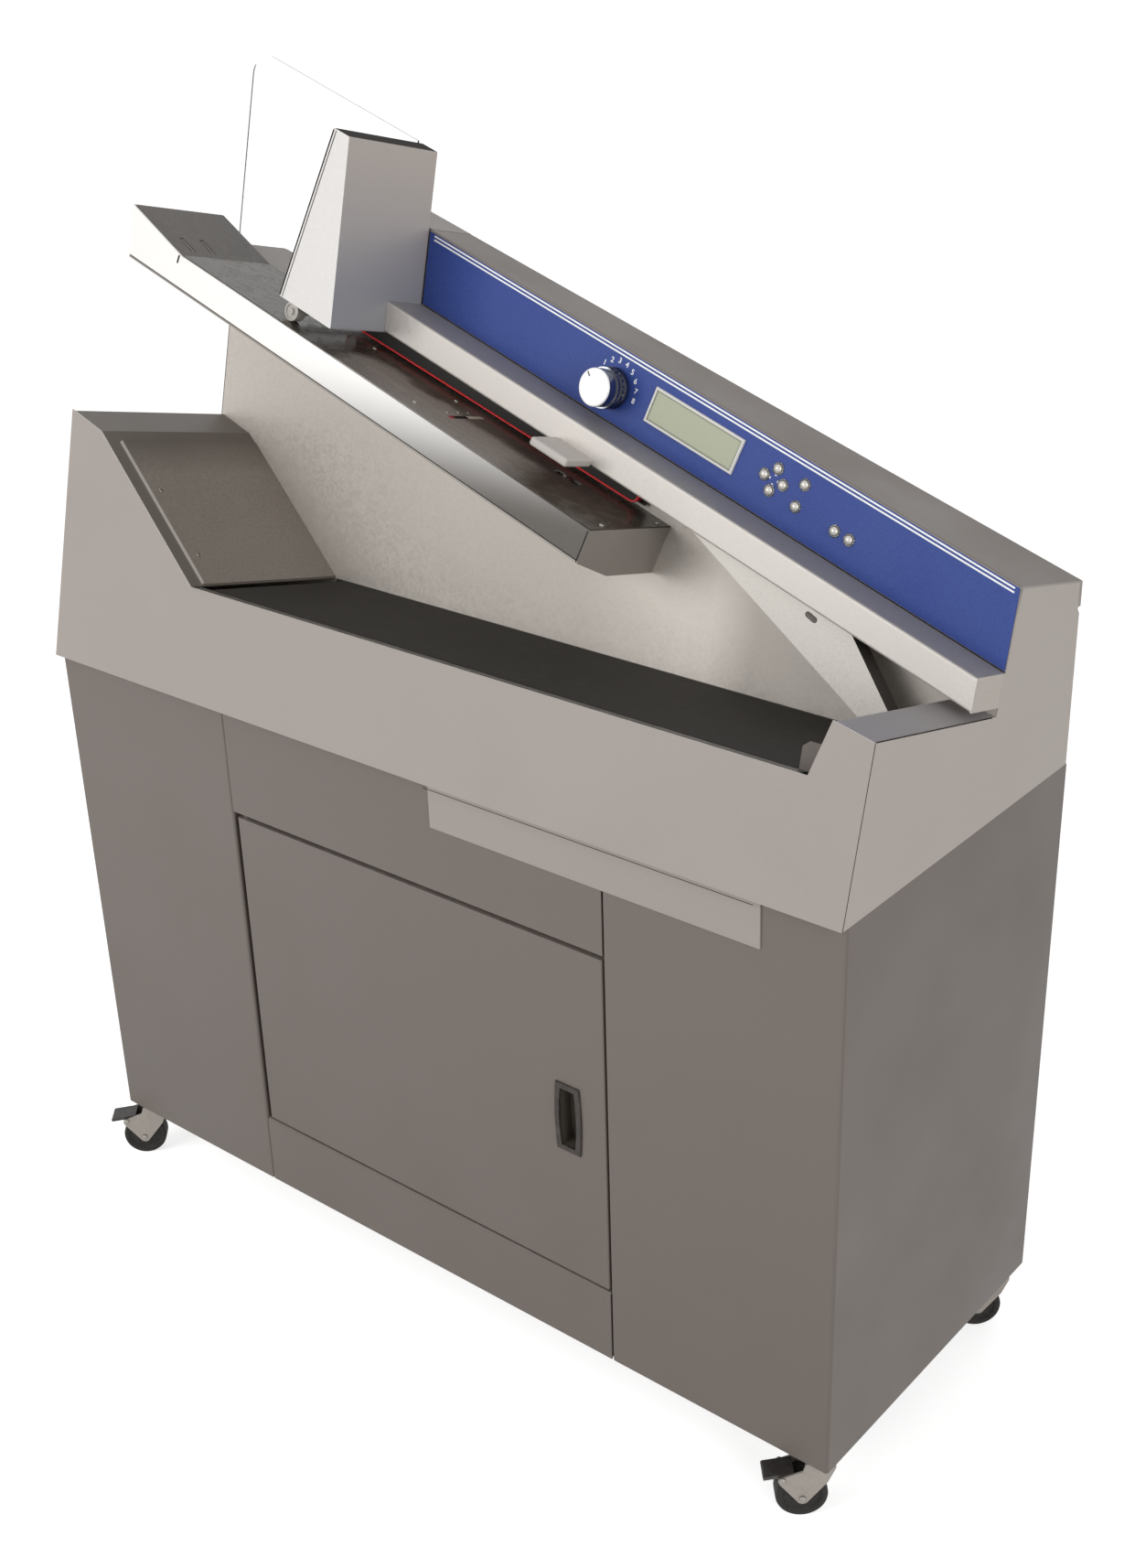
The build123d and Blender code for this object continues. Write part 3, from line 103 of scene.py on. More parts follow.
def new_finish(name, color, roughness, metallic=0.0, **sockets):
    """A material and its shader, with the plain numbers on the shader's own sockets."""
    mat = bpy.data.materials.new(name)
    mat.use_nodes = True
    shader = mat.node_tree.nodes["Principled BSDF"]
    shader.inputs["Base Color"].default_value = color
    shader.inputs["Roughness"].default_value = roughness
    shader.inputs["Metallic"].default_value = metallic
    for key, value in sockets.items():
        shader.inputs[key.replace("_", " ")].default_value = value
    return mat, mat.node_tree, shader


def own_place(tree, matrix=None):
    """Object coordinates, or the same point in another frame of the machine."""
    source = tree.nodes.new("ShaderNodeTexCoord").outputs["Object"]
    if matrix is None:
        return source
    place = add(tree, "ShaderNodeMapping", {"vector_type": "TEXTURE"}, Vector=source)
    place.inputs["Location"].default_value = matrix.to_translation()
    place.inputs["Rotation"].default_value = matrix.to_euler("XYZ")
    return place.outputs[0]


def part_of(tree, vector, axis):
    """One of a vector's three numbers."""
    return add(tree, "ShaderNodeSeparateXYZ", Vector=vector).outputs[axis]


def surface_normal(tree):
    return tree.nodes.new("ShaderNodeNewGeometry").outputs["Normal"]


def normal_part(tree, axis):
    """How far the surface faces along X, Y or Z."""
    return part_of(tree, surface_normal(tree), axis)


def feed(shader, **inputs):
    """Links values to the shader's sockets of those names."""
    for key, value in inputs.items():
        shader.id_data.links.new(value, shader.inputs[key.replace("_", " ")])


def bump(tree, shader, height, strength, distance):
    """Gives the shader a fine relief."""
    made = add(tree, "ShaderNodeBump", Height=height, Strength=strength, Distance=distance)
    feed(shader, Normal=made.outputs[0])


def effect(name, inputs, outputs):
    """An empty shader node group with its sockets."""
    group = bpy.data.node_groups.new(name, "ShaderNodeTree")
    for title, kind, value in inputs:
        socket = group.interface.new_socket(title, in_out="INPUT", socket_type=kind)
        if value is not None:
            socket.default_value = value
    for title, kind in outputs:
        group.interface.new_socket(title, in_out="OUTPUT", socket_type=kind)
    return group, group.nodes.new("NodeGroupInput"), group.nodes.new("NodeGroupOutput")


def use(tree, group, **inputs):
    """A node group placed in a material, with its own values."""
    return add(tree, "ShaderNodeGroup", {"node_tree": group}, **inputs)


def coat(node, mat):
    """Gives a CAD node its finish."""
    for place in frame["nodes"][node].material_slots:
        place.material = mat


COLOR, FLOAT, VECTOR = "NodeSocketColor", "NodeSocketFloat", "NodeSocketVector"
powder, gin, gout = effect(
    "powder coat",
    [("Vector", VECTOR, None), ("Colour", COLOR, rgb(128, 128, 128)), ("Mottle", FLOAT, 0.1),
     ("Roughness", FLOAT, 0.5)],
    [("Colour", COLOR), ("Roughness", FLOAT), ("Height", FLOAT)],
)
fine = add(powder, "ShaderNodeTexNoise", Vector=gin.outputs["Vector"], Scale=1400.0, Detail=2.0)
cloud = add(powder, "ShaderNodeTexNoise", Vector=gin.outputs["Vector"], Scale=7.0, Detail=4.0)
speck = add(powder, "ShaderNodeTexNoise", Vector=gin.outputs["Vector"], Scale=420.0, Detail=3.0)
tone = math(powder, "ADD", math(powder, "SUBTRACT", cloud.outputs[0], 0.5),
            math(powder, "MULTIPLY", math(powder, "SUBTRACT", speck.outputs[0], 0.5), 0.7))
tone = math(powder, "ADD", math(powder, "MULTIPLY", tone, gin.outputs["Mottle"]), 1.0)
shade = add(powder, "ShaderNodeVectorMath", {"operation": "SCALE"}, Vector=gin.outputs["Colour"], Scale=tone)
powder.links.new(shade.outputs[0], gout.inputs["Colour"])
rough = math(powder, "ADD", gin.outputs["Roughness"], ramp(powder, cloud.outputs[0], 0.3, 0.7, -0.05, 0.06))
powder.links.new(rough, gout.inputs["Roughness"])
powder.links.new(fine.outputs[0], gout.inputs["Height"])

dust, gin, gout = effect(
    "settled dust",
    [("Vector", VECTOR, None), ("Colour", COLOR, None), ("Amount", FLOAT, 0.1)],
    [("Colour", COLOR)],
)
up = normal_part(dust, "Z")
drift = add(dust, "ShaderNodeTexNoise", Vector=gin.outputs["Vector"], Scale=38.0, Detail=6.0, Roughness=0.65)
lying = math(dust, "MULTIPLY", ramp(dust, up, 0.55, 0.95), ramp(dust, drift.outputs[0], 0.38, 0.7))
lying = math(dust, "MULTIPLY", lying, gin.outputs["Amount"])
dust.links.new(blend(dust, lying, gin.outputs["Colour"], rgb(205, 200, 192)), gout.inputs["Colour"])


def painted(name, color, mottle, roughness, dusty=0.12):
    """Powder coat over folded steel."""
    mat, tree, shader = new_finish(name, color, roughness, Specular_IOR_Level=0.42)
    place = own_place(tree)
    skin = use(tree, powder, Vector=place, Colour=color, Mottle=mottle, Roughness=roughness)
    settled = use(tree, dust, Vector=place, Colour=skin.outputs["Colour"], Amount=dusty)
    feed(shader, Base_Color=settled.outputs["Colour"], Roughness=skin.outputs["Roughness"])
    bump(tree, shader, skin.outputs["Height"], 0.12, 0.0004)
    return mat


def over(mat, amount, color):
    """Lays a colour over a finish by an amount, a value of the finish's own tree."""
    base = mat.node_tree.nodes["Principled BSDF"].inputs["Base Color"]
    mat.node_tree.links.new(blend(mat.node_tree, amount, base.links[0].from_socket, color), base)
    return mat


cabinet_paint = painted("cabinet paint", rgb(110, 101, 95), 0.10, 0.46)
tree = cabinet_paint.node_tree
# Over the paint: darker towards the bottom, and painted shade on the faces that look along +X, away from the
# key lamp.
low_down = ramp(tree, part_of(tree, own_place(tree), "Z"), 0.65, 0.10, 0.0, 0.45)
darker_low_and_shaded_side = math(tree, "MAXIMUM", low_down, ramp(tree, normal_part(tree, "X"), 0.5, 0.9, 0.0, 0.5))
over(cabinet_paint, darker_low_and_shaded_side, rgb(90, 81, 74))
for part in ("cabinet_left_pillar", "cabinet_right_pillar", "cabinet_rear_panel", "cabinet_top_plate",
             "front_top_panel", "kick_panel", "door", "cabinet_floor"):
    coat(part, cabinet_paint)


# ------------------------------------------------------------------ rear panel's screws
# Pan-head sheet-metal screws, cold-headed and zinc plated. They stand in rows along all
# four edges of the rear panel, which comes off for service.
def plain_mesh(obj):
    """The evaluated object as a plain mesh object in its place, without its modifiers."""
    graph = bpy.context.evaluated_depsgraph_get()
    mesh = bpy.data.meshes.new_from_object(obj.evaluated_get(graph))
    obj.modifiers.clear()
    if obj.type == "MESH":
        obj.data = mesh
        return obj
    made = bpy.data.objects.new(obj.name + "_mesh", mesh)
    bpy.context.collection.objects.link(made)
    name = obj.name
    bpy.data.objects.remove(obj)
    made.name = name
    return made


def mesh_object(name, vertices, faces, material=None, smooth=False):
    """A piece from its corners and faces."""
    mesh = bpy.data.meshes.new(name)
    mesh.from_pydata([tuple(v) for v in vertices], [], faces)
    mesh.validate()
    if material:
        mesh.materials.append(material)
    for face in mesh.polygons:
        face.use_smooth = smooth
    made = bpy.data.objects.new(name, mesh)
    bpy.context.collection.objects.link(made)
    return made


def face_outward(obj):
    """Turns the faces of a closed shell so that they point outwards."""
    build = bmesh.new()
    build.from_mesh(obj.data)
    bmesh.ops.recalc_face_normals(build, faces=build.faces)
    build.to_mesh(obj.data)
    build.free()
    return obj


def lathe(name, profile, segments, place, material=None):
    """A turned piece about local Z from (radius, height) points, moved to its place in the mesh."""
    vertices, faces, rings = [], [], []
    for radius, height in profile:
        count = segments if radius > 0 else 1
        rings.append(range(len(vertices), len(vertices) + count))
        for i in range(count):
            angle = 2 * pi * i / segments
            vertices.append((radius * cos(angle), radius * sin(angle), height))
    for low, high in zip(rings, rings[1:]):
        for i in range(segments):
            j = (i + 1) % segments
            if len(low) == 1:
                faces.append((low[0], high[j], high[i]))
            elif len(high) == 1:
                faces.append((low[i], low[j], high[0]))
            else:
                faces.append((low[i], low[j], high[j], high[i]))
    made = mesh_object(name, vertices, faces, material, smooth=True)
    made.data.transform(place)
    return face_outward(made)


def scatter(name, shape, points, directions, material, group, **inputs):
    """Sets a modifier that puts the shape on each point, with its Z along the point's direction."""
    mesh = bpy.data.meshes.new(name)
    mesh.from_pydata([tuple(p) for p in points], [], [])
    facing = mesh.attributes.new("facing", "FLOAT_VECTOR", "POINT")
    for i, d in enumerate(directions):
        facing.data[i].vector = d
    made = bpy.data.objects.new(name, mesh)
    bpy.context.collection.objects.link(made)
    modifier = made.modifiers.new(name, "NODES")
    modifier.node_group = group
    values = {"Shape": shape, "Finish": material, **inputs}
    for item in group.interface.items_tree:
        if item.item_type == "SOCKET" and item.in_out == "INPUT" and item.name in values:
            modifier[item.identifier] = values[item.name]
    plain_mesh(made)
    for face in made.data.polygons:
        face.use_smooth = True
    bpy.data.objects.remove(shape)
    return made


def placing_tree(name, *sockets):
    """A geometry tree with its named inputs, and the attribute that says where each copy faces."""
    tree = bpy.data.node_groups.new(name, "GeometryNodeTree")
    titles = (("Points", "Geometry"), ("Shape", "Object"), *sockets, ("Finish", "Material"))
    for title, kind in titles:
        tree.interface.new_socket(title, in_out="INPUT", socket_type="NodeSocket" + kind)
    tree.interface.new_socket("Geometry", in_out="OUTPUT", socket_type="NodeSocketGeometry")
    attribute = add(tree, "GeometryNodeInputNamedAttribute", {"data_type": "FLOAT_VECTOR"}, Name="facing")
    return tree, tree.nodes.new("NodeGroupInput"), attribute.outputs[0]


def place_copies(tree, source, **turns):
    """Ends such a tree: the shape on every point, made real and given its finish."""
    info = add(tree, "GeometryNodeObjectInfo", Object=source.outputs["Shape"])
    copies = add(tree, "GeometryNodeInstanceOnPoints", Points=source.outputs["Points"],
                 Instance=info.outputs["Geometry"], **turns)
    real = add(tree, "GeometryNodeRealizeInstances", Geometry=copies.outputs[0])
    done = add(tree, "GeometryNodeSetMaterial", Geometry=real.outputs[0], Material=source.outputs["Finish"])
    tree.links.new(done.outputs[0], tree.nodes.new("NodeGroupOutput").inputs[0])
    return tree


def on_points_tree():
    """Geometry nodes: fasteners on points, each turned by chance about its own axis."""
    tree, source, facing = placing_tree("fasteners on points", ("Size", "Float"), ("Turn", "Float"))
    align = add(tree, "FunctionNodeAlignRotationToVector", {"axis": "Z"}, Vector=facing)
    chance = add(tree, "FunctionNodeRandomValue", {"data_type": "FLOAT"}, Seed=7)
    chance.inputs[2].default_value = -1.0
    chance.inputs[3].default_value = 1.0
    spin = math(tree, "MULTIPLY", chance.outputs[1], source.outputs["Turn"])
    twist = add(tree, "FunctionNodeAxisAngleToRotation", Angle=spin)
    turned = add(tree, "FunctionNodeRotateRotation", {"rotation_space": "LOCAL"},
                 Rotation=align.outputs[0], Rotate_By=twist.outputs[0])
    return place_copies(tree, source, Rotation=turned.outputs[0], Scale=source.outputs["Size"])


on_points = on_points_tree()
marks, gin, gout = effect(
    "handling marks",
    [("Vector", VECTOR, None), ("Scale", FLOAT, 60.0), ("Amount", FLOAT, 0.2)],
    [("Mask", FLOAT), ("Height", FLOAT)],
)
smear = add(marks, "ShaderNodeTexNoise", Vector=gin.outputs["Vector"], Scale=gin.outputs["Scale"],
            Detail=5.0, Distortion=1.4)
hair = add(marks, "ShaderNodeMapping", Vector=gin.outputs["Vector"])
hair.inputs["Scale"].default_value = (1.0, 22.0, 22.0)
hair.inputs["Rotation"].default_value = (0.2, 0.5, 0.3)
scratch = add(marks, "ShaderNodeTexNoise", Vector=hair.outputs[0], Scale=gin.outputs["Scale"], Detail=3.0)
fine_lines = ramp(marks, scratch.outputs[0], 0.62, 0.72)
rubs = math(marks, "ADD", ramp(marks, smear.outputs[0], 0.45, 0.75), math(marks, "MULTIPLY", fine_lines, 0.5))
marks.links.new(math(marks, "MULTIPLY", rubs, gin.outputs["Amount"]), gout.inputs["Mask"])
marks.links.new(scratch.outputs[0], gout.inputs["Height"])


def bare_metal(name, color, roughness, metallic=1.0, scale=90.0, amount=0.25, **sockets):
    """Plain or plated metal with faint rubs."""
    mat, tree, shader = new_finish(name, color, roughness, metallic, **sockets)
    rubbed = use(tree, marks, Vector=own_place(tree), Scale=scale, Amount=amount)
    darker = tuple(0.72 * v for v in color[:3]) + (1.0,)
    worn = math(tree, "ADD", math(tree, "MULTIPLY", rubbed.outputs["Mask"], 0.6), roughness, True)
    feed(shader, Base_Color=blend(tree, rubbed.outputs["Mask"], color, darker), Roughness=worn)
    bump(tree, shader, rubbed.outputs["Height"], 0.05, 0.0003)
    return mat


screw_zinc = bare_metal("zinc plated screw", rgb(168, 164, 156), 0.34)
rear_low, rear_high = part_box("cabinet_rear_panel")
head = lathe("screw_shape", [(0, 0.0016), (0.0016, 0.0015), (0.0029, 0.0009), (0.0034, 0.0001),
                             (0.0034, -0.0003), (0, -0.0003)], 20, Matrix())
spots, inset, columns, rows = [], 0.012, 9, 5
for i in range(columns):
    x = rear_low.x + inset + (rear_high.x - rear_low.x - 2 * inset) * i / (columns - 1)
    spots += [(x, rear_high.y, rear_low.z + 0.016), (x, rear_high.y, rear_high.z - inset)]
for i in range(1, rows):
    z = rear_low.z + (rear_high.z - rear_low.z) * i / rows
    spots += [(rear_low.x + inset, rear_high.y, z), (rear_high.x - inset, rear_high.y, z)]
rear_screws = scatter("rear_panel_screws", head, spots, [(0, 1, 0)] * len(spots), screw_zinc, on_points,
                      Size=1.0, Turn=3.0)
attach(rear_screws, "machine")

# ------------------------------------------------------------------ upper housing
# The leaning casing above the cabinet, powder coated in a light warm grey. Its cut top edges are bare, with a
# painted highlight on them along the trough and the shoulders.
mm = 0.001
lean, incline = radians(14.44), radians(17.35)
shift = Vector((16.05, 12.819, 0.0))
apron_foot = Vector((0.0, -243.55, 800.9)) + shift
housing = Matrix.Translation(apron_foot * mm) @ Matrix.Rotation(-lean, 4, "X")
slope = housing @ Matrix.Translation(Vector((163.6, 0, 313.0)) * mm) @ Matrix.Rotation(incline, 4, "Y")


def on_slope(s, y, n):
    """A point of the feeder's sloping frame, given in millimetres."""
    return slope @ (Vector((s, y, n)) * mm)


def edge_highlight_paint(name, color, mottle, roughness):
    """Powder coat whose upward cut edges and folds are bare, with a painted highlight on them."""
    mat, tree, shader = new_finish(name, color, roughness, Specular_IOR_Level=0.45)
    place = own_place(tree)
    skin = use(tree, powder, Vector=place, Colour=color, Mottle=mottle, Roughness=roughness)
    depth = part_of(tree, own_place(tree, housing), "Y")
    # Painted highlight: upward faces within the front 2 mm, the sheet's cut edge, are blended to near white.
    painted_edge_tone = math(tree, "MULTIPLY", ramp(tree, normal_part(tree, "Z"), 0.35, 0.6),
               ramp(tree, depth, 0.0021, 0.0019))
    settled = use(tree, dust, Vector=place, Colour=skin.outputs["Colour"], Amount=0.06)
    feed(shader, Base_Color=blend(tree, painted_edge_tone, settled.outputs["Colour"], rgb(238, 235, 230)),
         Roughness=skin.outputs["Roughness"])
    bump(tree, shader, skin.outputs["Height"], 0.12, 0.0004)
    return mat


# One light grey coat covers all these parts; its copies differ in tone as painted light and shade, darkest on
# the top cover and the left shoulder.
housing_paint = painted("housing paint", rgb(170, 161, 154), 0.09, 0.42, 0.05)
coat("front_apron", edge_highlight_paint("apron paint", rgb(164, 155, 149), 0.09, 0.42))
coat("right_side_panel", housing_paint)
coat("rear_cover", painted("rear cover paint", rgb(150, 142, 136), 0.09, 0.46, 0.0))
shelf_paint = painted("shelf paint", rgb(152, 148, 149), 0.06, 0.4, 0.0)
tree = shelf_paint.node_tree
# Painted shade: the shelf is darker below 0.193 m in the housing's frame, where it lies in shadow.
over(shelf_paint, ramp(tree, part_of(tree, own_place(tree, housing), "Z"), 0.193, 0.188), rgb(96, 88, 82))
coat("right_end_shelf", shelf_paint)
cover_paint = painted("cover paint", rgb(146, 138, 132), 0.09, 0.46, 0.0)
tree = cover_paint.node_tree
# Painted shade: the cover's upward faces are darker.
over(cover_paint, ramp(tree, normal_part(tree, "Z"), 0.6, 0.9), rgb(118, 109, 102))
coat("top_cover", cover_paint)
coat("left_end_cover", painted("shoulder paint", rgb(114, 106, 99), 0.09, 0.46, 0.0))
coat("skirt_plate", painted("skirt paint", rgb(160, 151, 145), 0.09, 0.42, 0.03))

# ------------------------------------------------------------------ side sheet's seams
# Where the folded sheets of the upper housing meet, narrow open joints stay between them: down
# the corner beside the apron, under the end shelf and along the apron's foot.
def handled(name, color, roughness, fresh, worn, scale, amount, relief=0.0, depth=0.0003, **sockets):
    """A finish whose colour changes where it is rubbed or dirtied, with a fine relief if it has one."""
    mat, tree, shader = new_finish(name, color, roughness, **sockets)
    rubs = use(tree, marks, Vector=own_place(tree), Scale=scale, Amount=amount)
    feed(shader, Base_Color=blend(tree, rubs.outputs["Mask"], fresh, worn))
    if relief:
        bump(tree, shader, rubs.outputs["Height"], relief, depth)
    return mat


def strip(name, corners, thickness, normal, material):
    """A thin flat piece through its corners, standing off along a direction."""
    off = Vector(normal).normalized() * thickness
    low = [Vector(c) for c in corners]
    high = [c + off for c in low]
    n = len(low)
    faces = [tuple(range(n))[::-1], tuple(range(n, 2 * n))]
    faces += [(i, (i + 1) % n, n + (i + 1) % n, n + i) for i in range(n)]
    return face_outward(mesh_object(name, low + high, faces, material))


def in_housing(x, y, z):
    """A point of the leaning housing's frame, given in millimetres."""
    return housing @ (Vector((x, y, z)) * mm)


def joined(name, objects):
    """Several plain meshes as one, with its own place in its mesh."""
    build = bmesh.new()
    for piece in objects:
        build.from_mesh(piece.data)
    mesh = bpy.data.meshes.new(name)
    build.to_mesh(mesh)
    build.free()
    for mat in objects[0].data.materials:
        mesh.materials.append(mat)
    made = bpy.data.objects.new(name, mesh)
    bpy.context.collection.objects.link(made)
    for piece in objects:
        bpy.data.objects.remove(piece)
    return made


seam_dark = handled("open seam", rgb(30, 27, 25), 0.9, rgb(26, 24, 22), rgb(58, 53, 48), 300.0, 0.5,
                    Specular_IOR_Level=0.1)
side_face, seam_proud = 609.6, 0.00025
corner = [in_housing(side_face, y, z) for y, z in ((1.6, 3.5), (2.4, 3.5), (2.4, 195.5), (1.6, 195.5))]
under_shelf = [in_housing(side_face, y, z)
               for y, z in ((2.4, 195.7), (244.0, 195.7), (244.0, 196.9), (2.4, 196.9))]
foot_line = [in_housing(x, 0, z) for x, z in ((52.0, 0.0), (506.0, 0.0), (506.0, 0.7), (52.0, 0.7))]
forward = housing.to_3x3() @ Vector((0, -1, 0))
seam = joined("side_sheet_seams", [strip("seam", corner, seam_proud, (1, 0, 0), seam_dark),
                                   strip("seam", under_shelf, seam_proud, (1, 0, 0), seam_dark),
                                   strip("seam", foot_line, seam_proud, forward, seam_dark)])
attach(seam, "machine")

# ------------------------------------------------------------------ galvanised sheets
# Back wall, rail, tower, feeder lip and deflector are bare zinc-coated sheet. The zinc shows small spangles.
# Painted light and shade lie over it: bands across the back wall, painted shade on the rail's upper face
# under the control panel and on the tower's side, a painted shadow gap on the deflector's return and a
# painted glare along the feeder lip.
spangle, gin, gout = effect(
    "zinc spangle",
    [("Vector", VECTOR, None), ("Colour", COLOR, None), ("Size", FLOAT, 260.0), ("Contrast", FLOAT, 0.1)],
    [("Colour", COLOR), ("Roughness", FLOAT), ("Height", FLOAT)],
)
cells = add(spangle, "ShaderNodeTexVoronoi", Vector=gin.outputs["Vector"], Scale=gin.outputs["Size"])
flakes = add(spangle, "ShaderNodeSeparateColor", Color=cells.outputs["Color"]).outputs[0]
grain = add(spangle, "ShaderNodeTexNoise", Vector=gin.outputs["Vector"], Scale=900.0, Detail=4.0)
broad = add(spangle, "ShaderNodeTexNoise", Vector=gin.outputs["Vector"], Scale=5.0, Detail=3.0)
both = math(spangle, "ADD", math(spangle, "SUBTRACT", flakes, 0.5),
            math(spangle, "MULTIPLY", math(spangle, "SUBTRACT", grain.outputs[0], 0.5), 1.6))
cloud = math(spangle, "MULTIPLY", math(spangle, "SUBTRACT", broad.outputs[0], 0.5), 0.8)
both = math(spangle, "MULTIPLY", math(spangle, "ADD", both, cloud), gin.outputs["Contrast"])
both = math(spangle, "ADD", both, 1.0)
tinted = add(spangle, "ShaderNodeVectorMath", {"operation": "SCALE"}, Vector=gin.outputs["Colour"],
             Scale=both)
spangle.links.new(tinted.outputs[0], gout.inputs["Colour"])
spangle.links.new(ramp(spangle, flakes, 0.0, 1.0, 0.34, 0.5), gout.inputs["Roughness"])
spangle.links.new(grain.outputs[0], gout.inputs["Height"])


def zinc_sheet(name, color, contrast, metallic=0.35, size=300.0):
    """Galvanised sheet; returns the pieces so that a colour may be laid over it."""
    mat, tree, shader = new_finish(name, color, 0.42, metallic)
    sheet = use(tree, spangle, Vector=own_place(tree), Colour=color, Size=size, Contrast=contrast)
    feed(shader, Base_Color=sheet.outputs["Colour"], Roughness=sheet.outputs["Roughness"])
    bump(tree, shader, sheet.outputs["Height"], 0.10, 0.0004)
    return mat, tree, shader, sheet


def bands(tree, value, low, high, stops):
    """Colour along a value, from stops of (value, colour)."""
    made = add(tree, "ShaderNodeValToRGB", Fac=ramp(tree, value, low, high))
    scale = made.color_ramp.elements
    scale[0].position, scale[0].color = 0.0, stops[0][1]
    scale[1].position, scale[1].color = 1.0, stops[-1][1]
    for at, tint in stops[1:-1]:
        scale.new((at - low) / (high - low)).color = tint
    return made.outputs[0]


def faces_along(tree, direction):
    """How far the surface faces along a direction."""
    made = add(tree, "ShaderNodeVectorMath", {"operation": "DOT_PRODUCT"}, Vector=surface_normal(tree))
    made.inputs[1].default_value = direction
    return made.outputs["Value"]


wall_mat, tree, shader, sheet = zinc_sheet("back wall zinc", rgb(194, 187, 178), 0.08, 0.25)
# Painted light and shade across the back wall: a lighter band from x 0.20 to 0.24 m in the housing's frame,
# and darker to its right.
across = part_of(tree, own_place(tree, housing), "X")
tone = bands(tree, across, -0.7, 0.7, [
    (-0.7, rgb(196, 189, 181)), (0.05, rgb(193, 186, 177)), (0.20, rgb(214, 207, 198)),
    (0.24, rgb(214, 207, 198)), (0.30, rgb(178, 171, 163)), (0.7, rgb(176, 169, 161))])
tree.links.new(tone, sheet.inputs["Colour"])
coat("back_wall", wall_mat)
deflector_mat, tree, shader, sheet = zinc_sheet("deflector zinc", rgb(192, 187, 180), 0.16, 0.35, 700.0)
# Painted shadow: the deflector's faces along +X, its return, are painted dark as the shadow gap beside the
# wall.
coat("deflector_plate", over(deflector_mat, ramp(tree, normal_part(tree, "X"), 0.5, 0.8), rgb(58, 52, 47)))

rail_mat, tree, shader, sheet = zinc_sheet("rail zinc", rgb(204, 198, 192), 0.08, 0.2)
# Painted shade: the rail's upper face, under the control panel, is darker, and its faces along +X get a
# darker tone.
top_face = ramp(tree, faces_along(tree, slope.to_3x3() @ Vector((0, 0, 1))), 0.5, 0.85)
tone = blend(tree, top_face, sheet.outputs["Colour"], rgb(158, 154, 152))
feed(shader, Base_Color=blend(tree, ramp(tree, normal_part(tree, "X"), 0.7, 0.9), tone, rgb(172, 164, 156)))
coat("rail_cover", rail_mat)

tower_mat, tree, shader, sheet = zinc_sheet("tower zinc", rgb(219, 216, 213), 0.05, 0.12, 420.0)
# Painted shade: the tower's faces along +X, away from the key lamp, are darker, and darker still towards the
# deck.
climb = part_of(tree, own_place(tree, slope), "Z")
tone = blend(tree, ramp(tree, climb, 0.03, 0.24), rgb(152, 153, 158), rgb(186, 176, 169))
tone = blend(tree, ramp(tree, normal_part(tree, "X"), 0.5, 0.8), sheet.outputs["Colour"], tone)
top_face = ramp(tree, normal_part(tree, "Z"), 0.7, 0.85)
feed(shader, Base_Color=blend(tree, top_face, tone, rgb(26, 22, 20)),
     Roughness=math(tree, "MAXIMUM", sheet.outputs["Roughness"], top_face))
coat("feeder_tower", tower_mat)

lip_mat, tree, shader, sheet = zinc_sheet("feeder lip zinc", rgb(80, 75, 70), 0.2, 0.2, 600.0)
place = add(tree, "ShaderNodeSeparateXYZ", Vector=own_place(tree, slope))
along = math(tree, "SUBTRACT", place.outputs["X"], math(tree, "MULTIPLY", place.outputs["Z"], 3.5))
# Painted highlight: a near-white glare on the lip's left that fades along it to the zinc's own dark tone.
# Below the hem the lip is painted the shaded wall's tone, and its faces along +X a lighter painted tone.
lip_glare = ramp(tree, along, -0.46, 0.033, shape="SMOOTHSTEP")
tone = blend(tree, lip_glare, rgb(244, 242, 239), sheet.outputs["Colour"])
tone = blend(tree, ramp(tree, place.outputs["Z"], -0.0380, -0.0385), tone, rgb(146, 140, 133))
tone = blend(tree, ramp(tree, normal_part(tree, "X"), 0.6, 0.9), tone, rgb(156, 148, 141))
feed(shader, Base_Color=tone)
coat("feeder_deck", lip_mat)

# ------------------------------------------------------------------ feeder lip's hem
# The sheet is folded back on itself along the bottom edge of the feeder's front. Its fold, the
# butt joint at the right end and a small clip on the left show as dark lines.
def slope_s(x, n):
    """Distance along the slope where a cabinet x plane meets the level n."""
    return (x - 163.6 - n * sin(incline)) / cos(incline)


def front_line(points, y):
    """A dark joint line on a sheet that faces the front."""
    return strip("joint", [on_slope(s, y, n) for s, n in points], 0.0003, outward, seam_dark)


outward = slope.to_3x3() @ Vector((0, -1, 0))
lip_face = 100.5
hem = joined("lip_hem", [front_line(points, lip_face) for points in (
    [(-830, -38.4), (-1.5, -38.4), (-1.5, -37.4), (-830, -37.4)],
    [(-2.6, -40), (-1.5, -40), (-1.5, -1.5), (-2.6, -1.5)],
    [(-743, -11), (-740.4, -11), (-740.4, -0.5), (-743, -0.5)])])
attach(hem, "machine")

# ------------------------------------------------------------------ feeder tower's fold
# The tower's leading edge is folded back and flattened. That leaves a double line beside its
# front face, which follows the slanting edge from the deck to the top.
tower_face = 99.1
tower_foot, tower_top = (slope_s(-355.6, 30.5), 30.5), (slope_s(-290.3, 240.0), 240.0)
fold = []
for near, past in ((0.2, 2.0), (5.0, 6.0)):
    ends = ((tower_foot, near), (tower_foot, past), (tower_top, past), (tower_top, near))
    fold.append(front_line([(s + off, n) for (s, n), off in ends], tower_face))
tower_fold = joined("tower_fold", fold)
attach(tower_fold, "machine")

